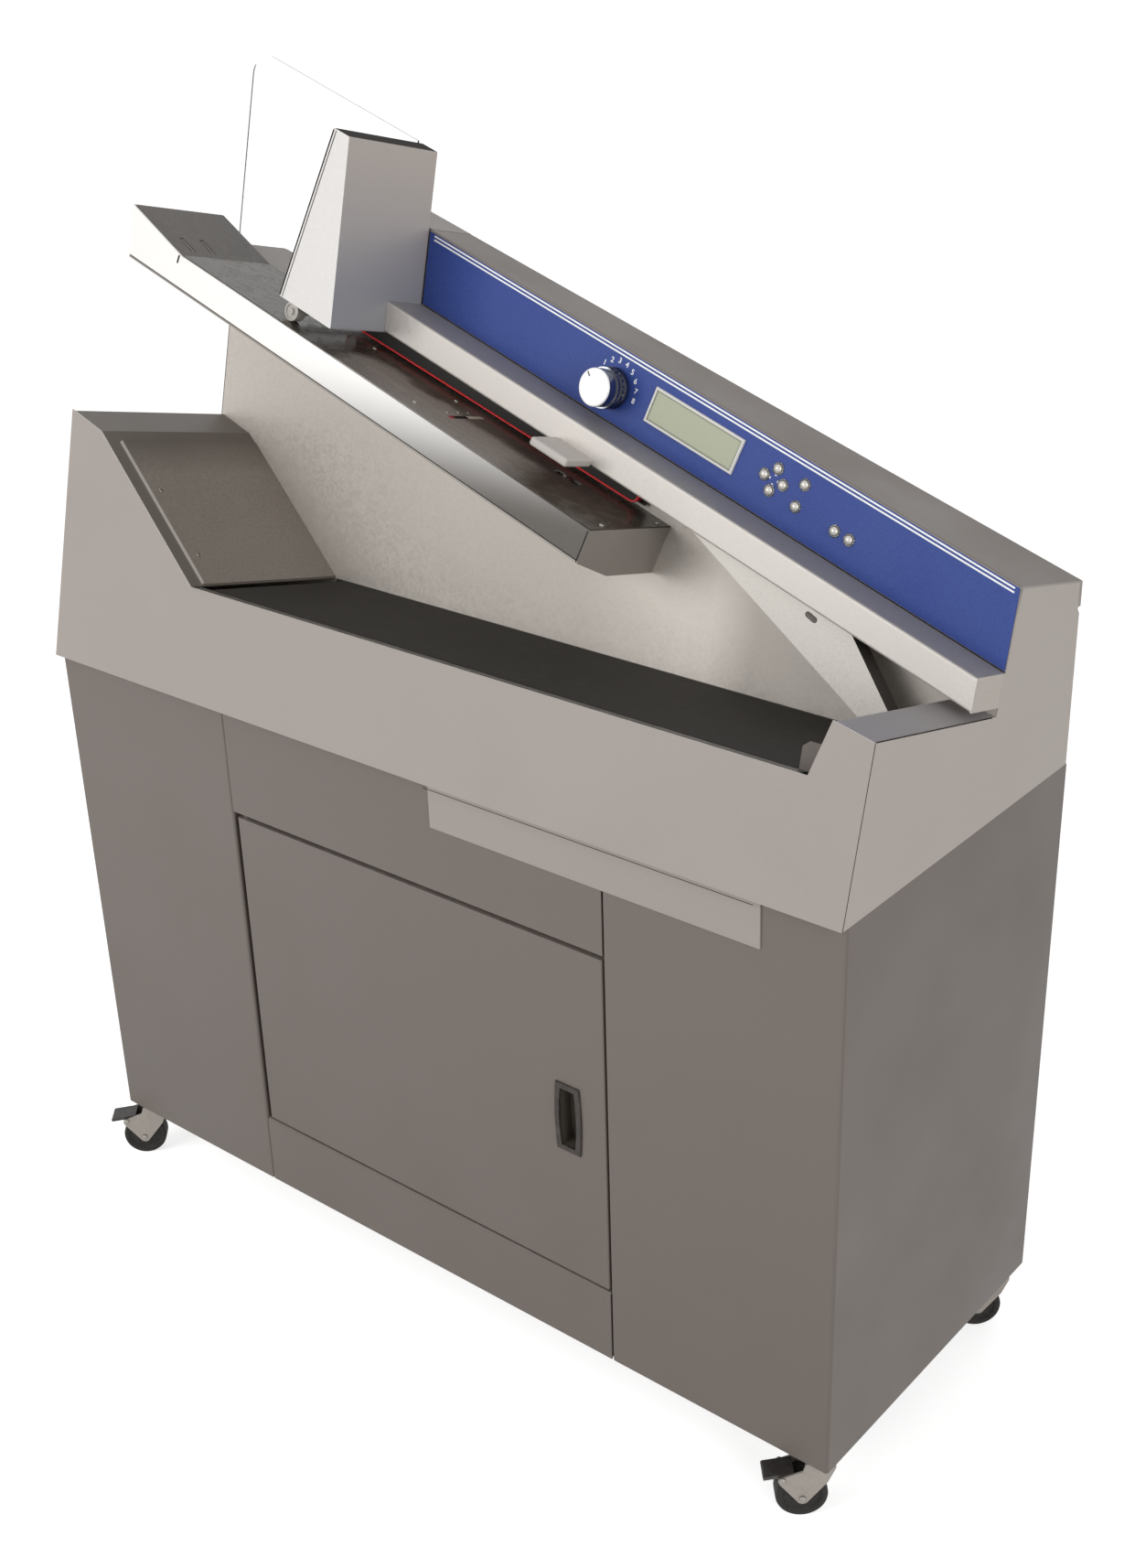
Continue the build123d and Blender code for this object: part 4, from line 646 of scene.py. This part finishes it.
# ------------------------------------------------------------------ feeder deck plate
# Hard-anodised, polished plate that forms the feeder's bed. It is nearly black, mirrors what stands over it
# and carries fine lines along the way of the feed. Painted reflections and shade lie in its colour as bands
# along and across it.
lines, gin, gout = effect(
    "drawn lines",
    [("Vector", VECTOR, None), ("Fine", FLOAT, 700.0)],
    [("Mask", FLOAT), ("Height", FLOAT)],
)
drawn = add(lines, "ShaderNodeMapping", Vector=gin.outputs["Vector"])
drawn.inputs["Scale"].default_value = (0.012, 1.0, 1.0)
streaks = add(lines, "ShaderNodeTexNoise", Vector=drawn.outputs[0], Scale=gin.outputs["Fine"], Detail=3.0)
lines.links.new(ramp(lines, streaks.outputs[0], 0.35, 0.7), gout.inputs["Mask"])
lines.links.new(streaks.outputs[0], gout.inputs["Height"])

deck_mat, tree, shader = new_finish("polished deck", rgb(58, 52, 46), 0.25, 0.0, Specular_IOR_Level=0.22)
place = own_place(tree, slope)
drawn = use(tree, lines, Vector=place, Fine=600.0)
rub = use(tree, marks, Vector=place, Scale=30.0, Amount=0.5)
where = add(tree, "ShaderNodeSeparateXYZ", Vector=place)
waver = add(tree, "ShaderNodeTexNoise", Vector=place, Scale=24.0, Detail=3.0)
waver = ramp(tree, waver.outputs[0], 0.3, 0.7, -0.01, 0.01)
reach, along = math(tree, "ADD", where.outputs["Y"], waver), math(tree, "ADD", where.outputs["X"], waver)
# Painted reflections and shade: a light stretch in front from s -0.435 to -0.17 m, a dark band where the
# tower stands, darker bands towards the back, and a darker front edge.
front = bands(tree, along, -0.8, 0.0, [
    (-0.8, rgb(84, 77, 71)), (-0.56, rgb(80, 73, 67)), (-0.535, rgb(60, 53, 46)), (-0.455, rgb(70, 62, 55)),
    (-0.435, rgb(156, 148, 141)), (-0.17, rgb(160, 152, 145)), (-0.12, rgb(84, 75, 66)),
    (0.0, rgb(80, 72, 64))])
back = bands(tree, along, -0.8, 0.0, [
    (-0.8, rgb(84, 77, 71)), (-0.56, rgb(80, 73, 67)), (-0.52, rgb(70, 62, 54)), (-0.36, rgb(104, 95, 86)),
    (-0.33, rgb(88, 79, 69)), (-0.29, rgb(108, 100, 92)), (-0.15, rgb(84, 76, 68)), (0.0, rgb(78, 70, 62))])
front_edge_shade = ramp(tree, where.outputs["Y"], 0.105, 0.135, 0.22, 0.0)
front = blend(tree, front_edge_shade, front, rgb(70, 64, 58))
tone = blend(tree, ramp(tree, reach, 0.168, 0.186), front, back)
tone = blend(tree, math(tree, "MULTIPLY", drawn.outputs["Mask"], 0.25), tone, rgb(64, 58, 52))
tone = blend(tree, math(tree, "MULTIPLY", rub.outputs["Mask"], 0.5), tone, rgb(128, 120, 113))
worn = math(tree, "ADD", math(tree, "MULTIPLY", rub.outputs["Mask"], 0.3), 0.22)
feed(shader, Base_Color=tone, Roughness=worn)
bump(tree, shader, drawn.outputs["Height"], 0.05, 0.0002)
coat("deck_plate", deck_mat)


# ------------------------------------------------------------------ deck's narrow slot
# The deck has a narrow slot beside the tower. In it sit the end of a red feed roller, a dark gap
# and a pale nylon guide, which three small screws hold.
def deck_patch(points, material):
    """A thin flat piece that lies just under the deck plate's upper face."""
    return strip("patch", [on_slope(s, y, 0.6) for s, y in points], 0.0003, deck_up, material)


deck_up = slope.to_3x3() @ Vector((0, 0, 1))
slot_left, slot_right, screw_row = -283.2, -275.8, -292.4
guide_red = painted("roller red", rgb(150, 30, 48), 0.2, 0.5, 0.0)
guide_pale = painted("guide nylon", rgb(196, 186, 172), 0.1, 0.5, 0.0)
for name, first, last, mat, slot_name in (("slot_roller", 149.6, 158.0, guide_red, "belt_red"),
                                          ("slot_gap", 158.4, 183.0, seam_dark, "steel_dark"),
                                          ("slot_guide", 183.4, 210.6, guide_pale, "feed_rubber")):
    piece = deck_patch([(slot_left, first), (slot_right, first), (slot_right, last), (slot_left, last)], mat)
    piece.name = name
    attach(piece, "machine")
dot = lathe("dot_shape", [(0, 0.0008), (0.0014, 0.0006), (0.0021, 0.0), (0.0021, -0.0002), (0, -0.0002)],
            16, Matrix())
dots = scatter("deck_slot_screws", dot, [on_slope(screw_row, y, 1.25) for y in (158.4, 178.4, 197.6)],
               [deck_up] * 3, screw_zinc, on_points, Size=1.0, Turn=3.0)
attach(dots, "machine")

# ------------------------------------------------------------------ ramp plate
# A brushed steel plate that leads down into the trough, with two screws through it. Its front edge is folded
# up, and a painted highlight lies along the fold.
ramp_mat, tree, shader = new_finish("ramp plate", rgb(124, 116, 109), 0.36, 0.12)
place = own_place(tree, housing)
drawn = use(tree, lines, Vector=place, Fine=420.0)
tone = blend(tree, drawn.outputs["Mask"], rgb(142, 134, 126), rgb(158, 150, 142))
climb = part_of(tree, place, "Z")
tone = blend(tree, ramp(tree, climb, 0.262, 0.300), tone, rgb(114, 106, 99))
depth = part_of(tree, place, "Y")
# Painted highlight: faces in front of 22.6 mm in the housing's frame, the fold, are painted light.
tone = blend(tree, ramp(tree, depth, 0.0229, 0.0226), tone, rgb(196, 190, 183))
feed(shader, Base_Color=tone)
bump(tree, shader, drawn.outputs["Height"], 0.08, 0.0003)
coat("ramp_plate", ramp_mat)

# ------------------------------------------------------------------ stacker
# A wide black rubber belt on two steel rollers between dark steel rails. The belt's top has a
# fine cloth-like impression and pale rubs along its length.
belt_mat, tree, shader = new_finish("stacker belt rubber", rgb(38, 36, 34), 0.7, Specular_IOR_Level=0.25)
place = own_place(tree, housing)
knit = add(tree, "ShaderNodeTexChecker", Vector=place, Scale=1500.0)
wear = use(tree, marks, Vector=place, Scale=26.0, Amount=0.35)
feed(shader, Base_Color=blend(tree, wear.outputs["Mask"], rgb(37, 34, 31), rgb(54, 51, 48)))
bump(tree, shader, knit.outputs["Fac"], 0.10, 0.0002)
coat("stacker_belt", belt_mat)
coat("stacker_frame", painted("rail enamel", rgb(58, 55, 52), 0.12, 0.45, 0.15))
roller_mat = bare_metal("turned steel", rgb(160, 157, 152), 0.3, 1.0, 140.0)
for part in ("stacker_idler_roller", "stacker_drive_roller", "belt_drive_pulley", "hinge_pins"):
    coat(part, roller_mat)

# ------------------------------------------------------------------ belt drive and cutter
# A red belt on a black carrier feeds along the deck, past a toothed cutter, whose motor sits
# behind the wall. A cast guard covers the cutter.
red_mat, tree, shader = new_finish("drive belt rubber", rgb(222, 34, 40), 0.5)
place = own_place(tree, slope)
wear = use(tree, marks, Vector=place, Scale=120.0, Amount=0.6)
feed(shader, Base_Color=blend(tree, wear.outputs["Mask"], rgb(246, 44, 50), rgb(204, 40, 42)))
bump(tree, shader, wear.outputs["Height"], 0.15, 0.0002)
coat("transport_belt", red_mat)
coat("belt_carrier", painted("carrier enamel", rgb(32, 28, 23), 0.2, 0.6, 0.02))
coat("milling_cutter", bare_metal("ground tool steel", rgb(176, 173, 168), 0.24, 1.0, 200.0))
coat("cutter_motor", painted("motor enamel", rgb(52, 52, 54), 0.1, 0.42))
coat("cutter_guard", painted("guard enamel", rgb(196, 190, 184), 0.12, 0.38, 0.0))
tyre_mat = handled("feed wheel rubber", rgb(196, 192, 184), 0.6, rgb(200, 196, 188), rgb(150, 144, 136),
                   260.0, 0.5, 0.2, 0.0002)
coat("feed_roller", tyre_mat)
coat("panel_screws", screw_zinc)

# ------------------------------------------------------------------ clear guard
# A flat sheet of clear acrylic that stands upright behind the feeder. Its cut edges are polished; a
# near-black painted shade on them shows as a thin dark line.
water_clear = (0.985, 0.99, 0.99, 1.0)
clear_mat, tree, shader = new_finish("clear acrylic", water_clear, 0.015, 0.0, IOR=1.2)
shader.inputs["Transmission Weight"].default_value = 1.0
rubs = use(tree, marks, Vector=own_place(tree), Scale=20.0, Amount=0.08)
feed(shader, Roughness=math(tree, "ADD", math(tree, "MULTIPLY", rubs.outputs["Mask"], 0.3), 0.01))
broad_face = math(tree, "ABSOLUTE", faces_along(tree, housing.to_3x3() @ Vector((0, 1, 0))))
# Painted shade: faces that don't look along the sheet's broad direction, its edges, are painted near black.
painted_edge_tone = ramp(tree, broad_face, 0.6, 0.95, 1.0, 0.0)
feed(shader, Base_Color=blend(tree, painted_edge_tone, water_clear, rgb(10, 10, 10)))
coat("acrylic_guard", clear_mat)

# ------------------------------------------------------------------ control panel
# A blue printed film over an aluminium strip on the hinged cover. Two white lines run along its
# top edge, and the dial's numbers and the key cross's arrows are printed in white.
film_mat, tree, shader = new_finish("blue film", rgb(46, 70, 144), 0.5, Specular_IOR_Level=0.3)
place = own_place(tree, slope)
tooth = add(tree, "ShaderNodeTexNoise", Vector=place, Scale=1100.0, Detail=3.0)
wash = add(tree, "ShaderNodeTexNoise", Vector=place, Scale=9.0, Detail=3.0)
tone = blend(tree, ramp(tree, tooth.outputs[0], 0.35, 0.65), rgb(38, 60, 134), rgb(54, 78, 152))
tone = blend(tree, ramp(tree, wash.outputs[0], 0.3, 0.8, 0.0, 0.3), tone, rgb(68, 90, 152))
feed(shader, Base_Color=tone)
bump(tree, shader, tooth.outputs[0], 0.14, 0.0003)
coat("control_panel", film_mat)

ink_mat, tree, shader = new_finish("white print", rgb(232, 234, 238), 0.5)
tooth = add(tree, "ShaderNodeTexNoise", Vector=own_place(tree), Scale=1300.0, Detail=2.0)
feed(shader, Base_Color=blend(tree, tooth.outputs[0], rgb(240, 241, 244), rgb(255, 255, 255)))
panel_face, print_depth = 254.0, 0.00015
stripe_left, stripe_right, stripe_half = -258.0, 606.0, 1.0
printed = []
for level in (149.6, 145.3):
    left, right = slope_s(stripe_left, level) + 6, slope_s(stripe_right, level) - 3
    low, high = level - stripe_half, level + stripe_half
    ends = [on_slope(s, panel_face, n) for s, n in ((left, low), (right, low), (right, high), (left, high))]
    printed.append(strip("stripe", ends, print_depth, outward, ink_mat))
knob_s, knob_n, digit_radius, digit_size = -147.3, 105.2, 32.7, 9.0
digit_start, digit_step = 139.9, 20.27
for i in range(8):
    angle = radians(digit_start - i * digit_step)
    label = bpy.data.curves.new("digit", "FONT")
    label.body = str(i + 1)
    label.size = digit_size * mm
    label.align_x, label.align_y = "CENTER", "CENTER"
    label.extrude = print_depth / 2
    label.offset = 0.00018  # bolder strokes
    made = bpy.data.objects.new("digit", label)
    bpy.context.collection.objects.link(made)
    made = plain_mesh(made)
    made.data.materials.clear()
    made.data.materials.append(ink_mat)
    spot = on_slope(knob_s + digit_radius * cos(angle), panel_face, knob_n + digit_radius * sin(angle))
    made.data.transform(Matrix.Translation(spot) @ slope.to_3x3().to_4x4() @ Matrix.Rotation(pi / 2, 4, "X"))
    printed.append(made)
for s, n, turn in ((100.1, 119.0, 0.0), (94.0, 113.0, 90.0), (106.2, 113.0, -90.0), (100.1, 107.0, 180.0)):
    arrow = []
    for dx, dz in ((-1.6, -1.2), (1.6, -1.2), (0.0, 1.8)):
        a = radians(turn)
        arrow.append(on_slope(s + dx * cos(a) - dz * sin(a), panel_face, n + dx * sin(a) + dz * cos(a)))
    printed.append(strip("arrow", arrow, print_depth, outward, ink_mat))
legend = joined("panel_print", printed)
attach(legend, "control_cover")

# ------------------------------------------------------------------ display
# A character display: a white moulded frame round a pale grey-green pane that shows nothing
# while the machine is off.
frame_mat = handled("display frame", rgb(216, 214, 209), 0.4, rgb(218, 216, 211), rgb(180, 178, 172),
                    200.0, 0.25)
coat("display", frame_mat)
display_s, display_n = -21.4, 113.4
pane_half_s, pane_half_n, pane_y = 65.4, 18.4, 252.45
pane_mat, tree, shader = new_finish("display pane", rgb(182, 186, 162), 0.4, Specular_IOR_Level=0.25)
place, inward = own_place(tree, slope), []
for axis, middle, half in (("X", display_s, pane_half_s), ("Z", display_n, pane_half_n)):
    off = math(tree, "ABSOLUTE", math(tree, "SUBTRACT", part_of(tree, place, axis), middle * mm))
    inward.append(math(tree, "SUBTRACT", (half + 0.1) * mm, off))
# Painted shadow: the pane darkens within 2.5 mm of its edge, the frame's shadow.
frame_shadow = ramp(tree, math(tree, "MINIMUM", *inward), 0.0, 0.0025)
feed(shader, Base_Color=blend(tree, frame_shadow, rgb(112, 115, 98), rgb(182, 186, 162)))
corners = [on_slope(display_s + a * pane_half_s, pane_y, display_n + b * pane_half_n)
           for a, b in ((-1, -1), (1, -1), (1, 1), (-1, 1))]
pane = strip("display_pane", corners, 0.0003, outward, pane_mat)
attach(pane, "control_cover")

# ------------------------------------------------------------------ selector knob
# A chromed knob with a smooth white-satin face and three knurled grip rings. The ribs of the
# rings are rolled into the metal all the way round.
knob_front, pointer_front = 217.3, 215.2
chrome_mat, tree, shader = new_finish("knob chrome", rgb(140, 142, 146), 0.16, 1.0)
place = own_place(tree, slope)
depth = part_of(tree, place, "Y")
rubs = use(tree, marks, Vector=place, Scale=160.0, Amount=0.3)
face = ramp(tree, depth, (knob_front + 0.3) * mm, (knob_front - 0.3) * mm)
tone = blend(tree, face, rgb(136, 138, 143), rgb(246, 246, 246))
pointer = ramp(tree, depth, (pointer_front + 0.1) * mm, (pointer_front - 0.1) * mm)
tone = blend(tree, pointer, tone, rgb(84, 84, 90))
rough = math(tree, "ADD", math(tree, "MULTIPLY", face, 0.2), 0.14)
rough = math(tree, "ADD", rough, math(tree, "MULTIPLY", rubs.outputs["Mask"], 0.3))
feed(shader, Base_Color=tone, Roughness=rough,
     Metallic=math(tree, "SUBTRACT", 1.0, math(tree, "MULTIPLY", face, 0.9)))
coat("selector_knob", chrome_mat)
rib_chrome = bare_metal("rib chrome", rgb(120, 122, 127), 0.2, 1.0, 200.0)
rib_count, knob_rim, ring_middles = 72, 24.0, (249.75, 241.75, 233.75)
half_rib, rib_side, rib_rise = 0.0021, 0.00045, 0.0005
rib = mesh_object("rib_shape", [(-rib_side, -half_rib, 0), (rib_side, -half_rib, 0), (rib_side, half_rib, 0),
                                (-rib_side, half_rib, 0), (0, -half_rib, rib_rise), (0, half_rib, rib_rise)],
                  [(0, 1, 4), (2, 3, 5), (0, 4, 5, 3), (1, 2, 5, 4), (3, 2, 1, 0)])
rib_points, rib_out = [], []
for middle in ring_middles:
    for i in range(rib_count):
        a = 2 * pi * i / rib_count
        rib_points.append(on_slope(knob_s + knob_rim * cos(a), middle, knob_n + knob_rim * sin(a)))
        rib_out.append(slope.to_3x3() @ Vector((cos(a), 0, sin(a))))


def knurl_tree():
    """Geometry nodes: ribs on points, each standing out along its own direction."""
    tree, source, facing = placing_tree("knurled ring", ("Axis", "Vector"))
    align = add(tree, "FunctionNodeAxesToRotation", {"primary_axis": "Z", "secondary_axis": "Y"})
    tree.links.new(facing, align.inputs[0])
    tree.links.new(source.outputs["Axis"], align.inputs[1])
    return place_copies(tree, source, Rotation=align.outputs[0])


knurl = scatter("knob_knurl", rib, rib_points, rib_out, rib_chrome, knurl_tree(), Axis=tuple(-outward))
for facet in knurl.data.polygons:
    facet.use_smooth = False
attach(knurl, "knob")

# ------------------------------------------------------------------ push buttons
# Domed metal keys with a pearly satin finish. Each sits in a dark crimped collar pressed into
# the panel.
key_mat = bare_metal("key metal", rgb(214, 210, 202), 0.3, 0.3, 300.0, 0.15)
key_places = {"up": (100.1, 126.5), "left": (86.5, 113.0), "right": (113.7, 113.0), "down": (100.1, 99.7),
              "cancel": (139.1, 126.5), "enter": (139.1, 99.7), "start": (196.0, 99.7), "stop": (216.7, 99.7)}
for key in key_places:
    coat("button_" + key, key_mat)
collar_mat = handled("collar enamel", rgb(44, 44, 50), 0.35, rgb(58, 57, 60), rgb(214, 211, 204),
                     700.0, 1.0, metallic=0.3)
crimps = 12
steps = crimps * 4
collar_profile = ((5.45, 0.0, 0.0), (5.45, 0.9, 0.0), (6.1, 1.4, 0.15), (7.1, 0.9, 0.5), (7.2, 0.0, 0.55))
collar_vertices, collar_faces = [], []
for k, (radius, height, wave) in enumerate(collar_profile):
    after = (k + 1) % len(collar_profile)
    for i in range(steps):
        j = (i + 1) % steps
        a = 2 * pi * i / steps
        r = (radius + wave * cos(crimps * a)) * mm
        collar_vertices.append((r * cos(a), r * sin(a), height * mm))
        collar_faces.append((k * steps + i, k * steps + j, after * steps + j, after * steps + i))
collar = face_outward(mesh_object("collar_shape", collar_vertices, collar_faces, collar_mat, True))
collar_points = [on_slope(s, panel_face, n) for s, n in key_places.values()]
collars = scatter("button_collars", collar, collar_points, [outward] * len(collar_points), collar_mat,
                  on_points, Size=1.0, Turn=0.3)
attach(collars, "control_cover")

# ------------------------------------------------------------------ door pull
# A black glass-filled nylon recess pull with a fine moulded texture, clipped into the door.
pull_mat, tree, shader = new_finish("moulded nylon", rgb(46, 41, 37), 0.5, Specular_IOR_Level=0.3)
place = own_place(tree)
leather = add(tree, "ShaderNodeTexVoronoi", Vector=place, Scale=900.0)
rubs = use(tree, marks, Vector=place, Scale=90.0, Amount=0.5)
sunk = part_of(tree, place, "Y")
front_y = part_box("door")[0].y
tone = blend(tree, ramp(tree, sunk, front_y + 0.001, front_y + 0.004), rgb(48, 43, 39), rgb(82, 75, 67))
feed(shader, Base_Color=blend(tree, rubs.outputs["Mask"], tone, rgb(84, 78, 72)))
bump(tree, shader, leather.outputs[0], 0.12, 0.0002)
coat("door_handle", pull_mat)

# ------------------------------------------------------------------ chip bin and power unit
# A moulded bin for the milled chips on the cabinet's floor, and the supply unit in its zinc
# case behind the rear panel.
bin_mat, tree, shader = new_finish("bin plastic", rgb(92, 92, 95), 0.5)
place = own_place(tree)
grain = add(tree, "ShaderNodeTexNoise", Vector=place, Scale=800.0, Detail=2.0)
rubs = use(tree, marks, Vector=place, Scale=30.0, Amount=0.4)
feed(shader, Base_Color=blend(tree, rubs.outputs["Mask"], rgb(92, 92, 95), rgb(128, 127, 126)))
bump(tree, shader, grain.outputs[0], 0.15, 0.0003)
coat("chip_bin", bin_mat)
unit_mat, tree, shader, sheet = zinc_sheet("supply case zinc", rgb(168, 167, 164), 0.2, 0.6)
coat("power_unit", unit_mat)

# ------------------------------------------------------------------ casters
# Twin-plate swivel casters: black moulded wheels between pressed zinc forks, with domed rivets
# at the axle and at the brake's pin. Only the front pair has black foot pedals.
wheel_mat = handled("wheel rubber", rgb(34, 31, 29), 0.65, rgb(34, 31, 28), rgb(60, 56, 51), 120.0, 0.5, 0.2,
                    Specular_IOR_Level=0.3)
fork_mat = bare_metal("zinc plated fork", rgb(156, 149, 142), 0.42, 0.4, 120.0, 0.3)
rivet_mat = bare_metal("rivet zinc", rgb(150, 144, 138), 0.3, 0.8, 200.0)
pedal_mat = handled("pedal nylon", rgb(40, 37, 36), 0.4, rgb(40, 37, 36), rgb(86, 82, 78), 80.0, 0.4, 0.1)
wheel_profile = [
    (5.0, -12.4), (8.0, -12.5), (8.6, -12.1), (10.0, -9.6), (21.4, -9.6), (23.6, -11.6), (25.2, -12.5),
    (28.6, -12.5), (30.0, -11.7), (30.9, -9.5), (31.0, -6.0), (31.0, 6.0), (30.9, 9.5), (30.0, 11.7),
    (28.6, 12.5), (25.2, 12.5), (23.6, 11.6), (21.4, 9.6), (10.0, 9.6), (8.6, 12.1), (8.0, 12.5),
    (5.0, 12.4), (3.06, 12.4), (3.06, -12.4), (5.0, -12.4)]
pin_back, pin_up, axle_reach, pin_reach = 23.5, 29.0, 17.9, 17.6
hinges = {j["name"]: j for j in frame["record"]["behaviour"]["joints"]}
for end in ("front", "rear"):
    for side in ("left", "right"):
        here = f"{end}_{side}"
        roll = hinges["roll_" + here]
        centre, axis = Vector(roll["pos_m"]), Vector(roll["axis"])
        turned = Matrix.Translation(centre) @ axis.to_track_quat("Z", "X").to_matrix().to_4x4()
        wheel = lathe("wheel_" + here, [(r * mm, h * mm) for r, h in wheel_profile], 72, turned, wheel_mat)
        wheel.data.set_sharp_from_angle(angle=radians(38))
        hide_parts("caster_wheel_" + here)
        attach(wheel, "wheel_" + here)
        coat("caster_fork_" + here, fork_mat)
        trail = Vector((axis.y, -axis.x, 0)).normalized()
        pin = centre - trail * pin_back * mm + Vector((0, 0, pin_up * mm))
        riveted = [(centre, axle_reach)]
        if end == "front":
            riveted.append((pin, pin_reach))
        spots = [middle + axis * way * reach * mm for way in (-1, 1) for middle, reach in riveted]
        ways = [axis * way for way in (-1, 1) for _ in riveted]
        dome = lathe("rivet_shape", [(0, 0.0019), (0.0016, 0.0017), (0.0030, 0.0010), (0.0038, 0.0002),
                                     (0.0038, -0.0016), (0, -0.0016)], 24, Matrix())
        rivets = scatter("caster_rivets_" + here, dome, spots, ways, rivet_mat, on_points, Size=1.0, Turn=0.0)
        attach(rivets, "fork_" + here)
for side in ("left", "right"):
    coat("brake_pedal_" + side, pedal_mat)

# ------------------------------------------------------------------ studio
# A pale floor, a white surround that only the camera and reflections see, and broad soft lamps
# in front. The camera looks down from the right of the front.
floor_mat, tree, shader = new_finish("studio floor", (0.82, 0.82, 0.82, 1.0), 0.6)
shader.inputs["Emission Color"].default_value = (1, 1, 1, 1)
rays = tree.nodes.new("ShaderNodeLightPath")
seen = math(tree, "MAXIMUM", rays.outputs["Is Glossy Ray"], rays.outputs["Is Transmission Ray"])
seen = math(tree, "MAXIMUM", seen, rays.outputs["Is Camera Ray"])
feed(shader, Emission_Strength=math(tree, "MULTIPLY", seen, 0.66))
half_floor = 12
floor = mesh_object("studio_floor", [(x * half_floor, y * half_floor, 0) for x, y in
                                     ((-1, -1), (1, -1), (1, 1), (-1, 1))], [(0, 1, 2, 3)], floor_mat)

world = bpy.data.worlds.new("studio")
bpy.context.scene.world = world
world.use_nodes = True
tree = world.node_tree
ground = tree.nodes["Background"]
ground.inputs["Color"].default_value = (1.0, 1.0, 1.0, 1.0)
rays = tree.nodes.new("ShaderNodeLightPath")
seen = math(tree, "MAXIMUM", rays.outputs["Is Camera Ray"], rays.outputs["Is Glossy Ray"])
seen = math(tree, "MAXIMUM", seen, rays.outputs["Is Transmission Ray"])
tree.links.new(ramp(tree, seen, 0.0, 1.0, 0.40, 1.0), ground.inputs["Strength"])


def lamp(name, place, target, size, power):
    """A broad soft lamp that is aimed at a point."""
    light = bpy.data.lights.new(name, "AREA")
    light.shape = "RECTANGLE"
    light.size, light.size_y = size
    light.energy = power
    made = bpy.data.objects.new(name, light)
    bpy.context.collection.objects.link(made)
    made.location = place
    made.rotation_euler = (Vector(target) - Vector(place)).to_track_quat("-Z", "Y").to_euler()
    return made


lamp("key", (-1.6, -3.6, 2.6), (0.0, 0.0, 0.8), (2.6, 2.0), 80)
lamp("fill", (3.6, -1.4, 2.0), (0.0, 0.0, 0.8), (2.0, 2.0), 48)

camera = bpy.data.cameras.new("camera")
camera.sensor_fit = "VERTICAL"
camera.sensor_width = 36.0
camera.sensor_height = 36.0
camera.lens = 46.71
viewpoint = Vector((1511.1, -1723.2, 1819.6))
azimuth, pitch, roll_angle = radians(40.05), radians(26.21), -0.0317
forward = Vector((-sin(azimuth) * cos(pitch), cos(azimuth) * cos(pitch), -sin(pitch)))
right = Vector((cos(azimuth), sin(azimuth), 0))
upward = right.cross(forward)
right_rolled = right * cos(roll_angle) + upward * sin(roll_angle)
up_rolled = upward * cos(roll_angle) - right * sin(roll_angle)
stand = bpy.data.objects.new("camera", camera)
bpy.context.collection.objects.link(stand)
turn = Matrix((right_rolled, up_rolled, -forward)).transposed().to_4x4()
stand.matrix_world = Matrix.Translation((viewpoint + shift) * mm) @ turn
bpy.context.scene.camera = stand
bpy.context.scene.view_settings.view_transform = "Standard"
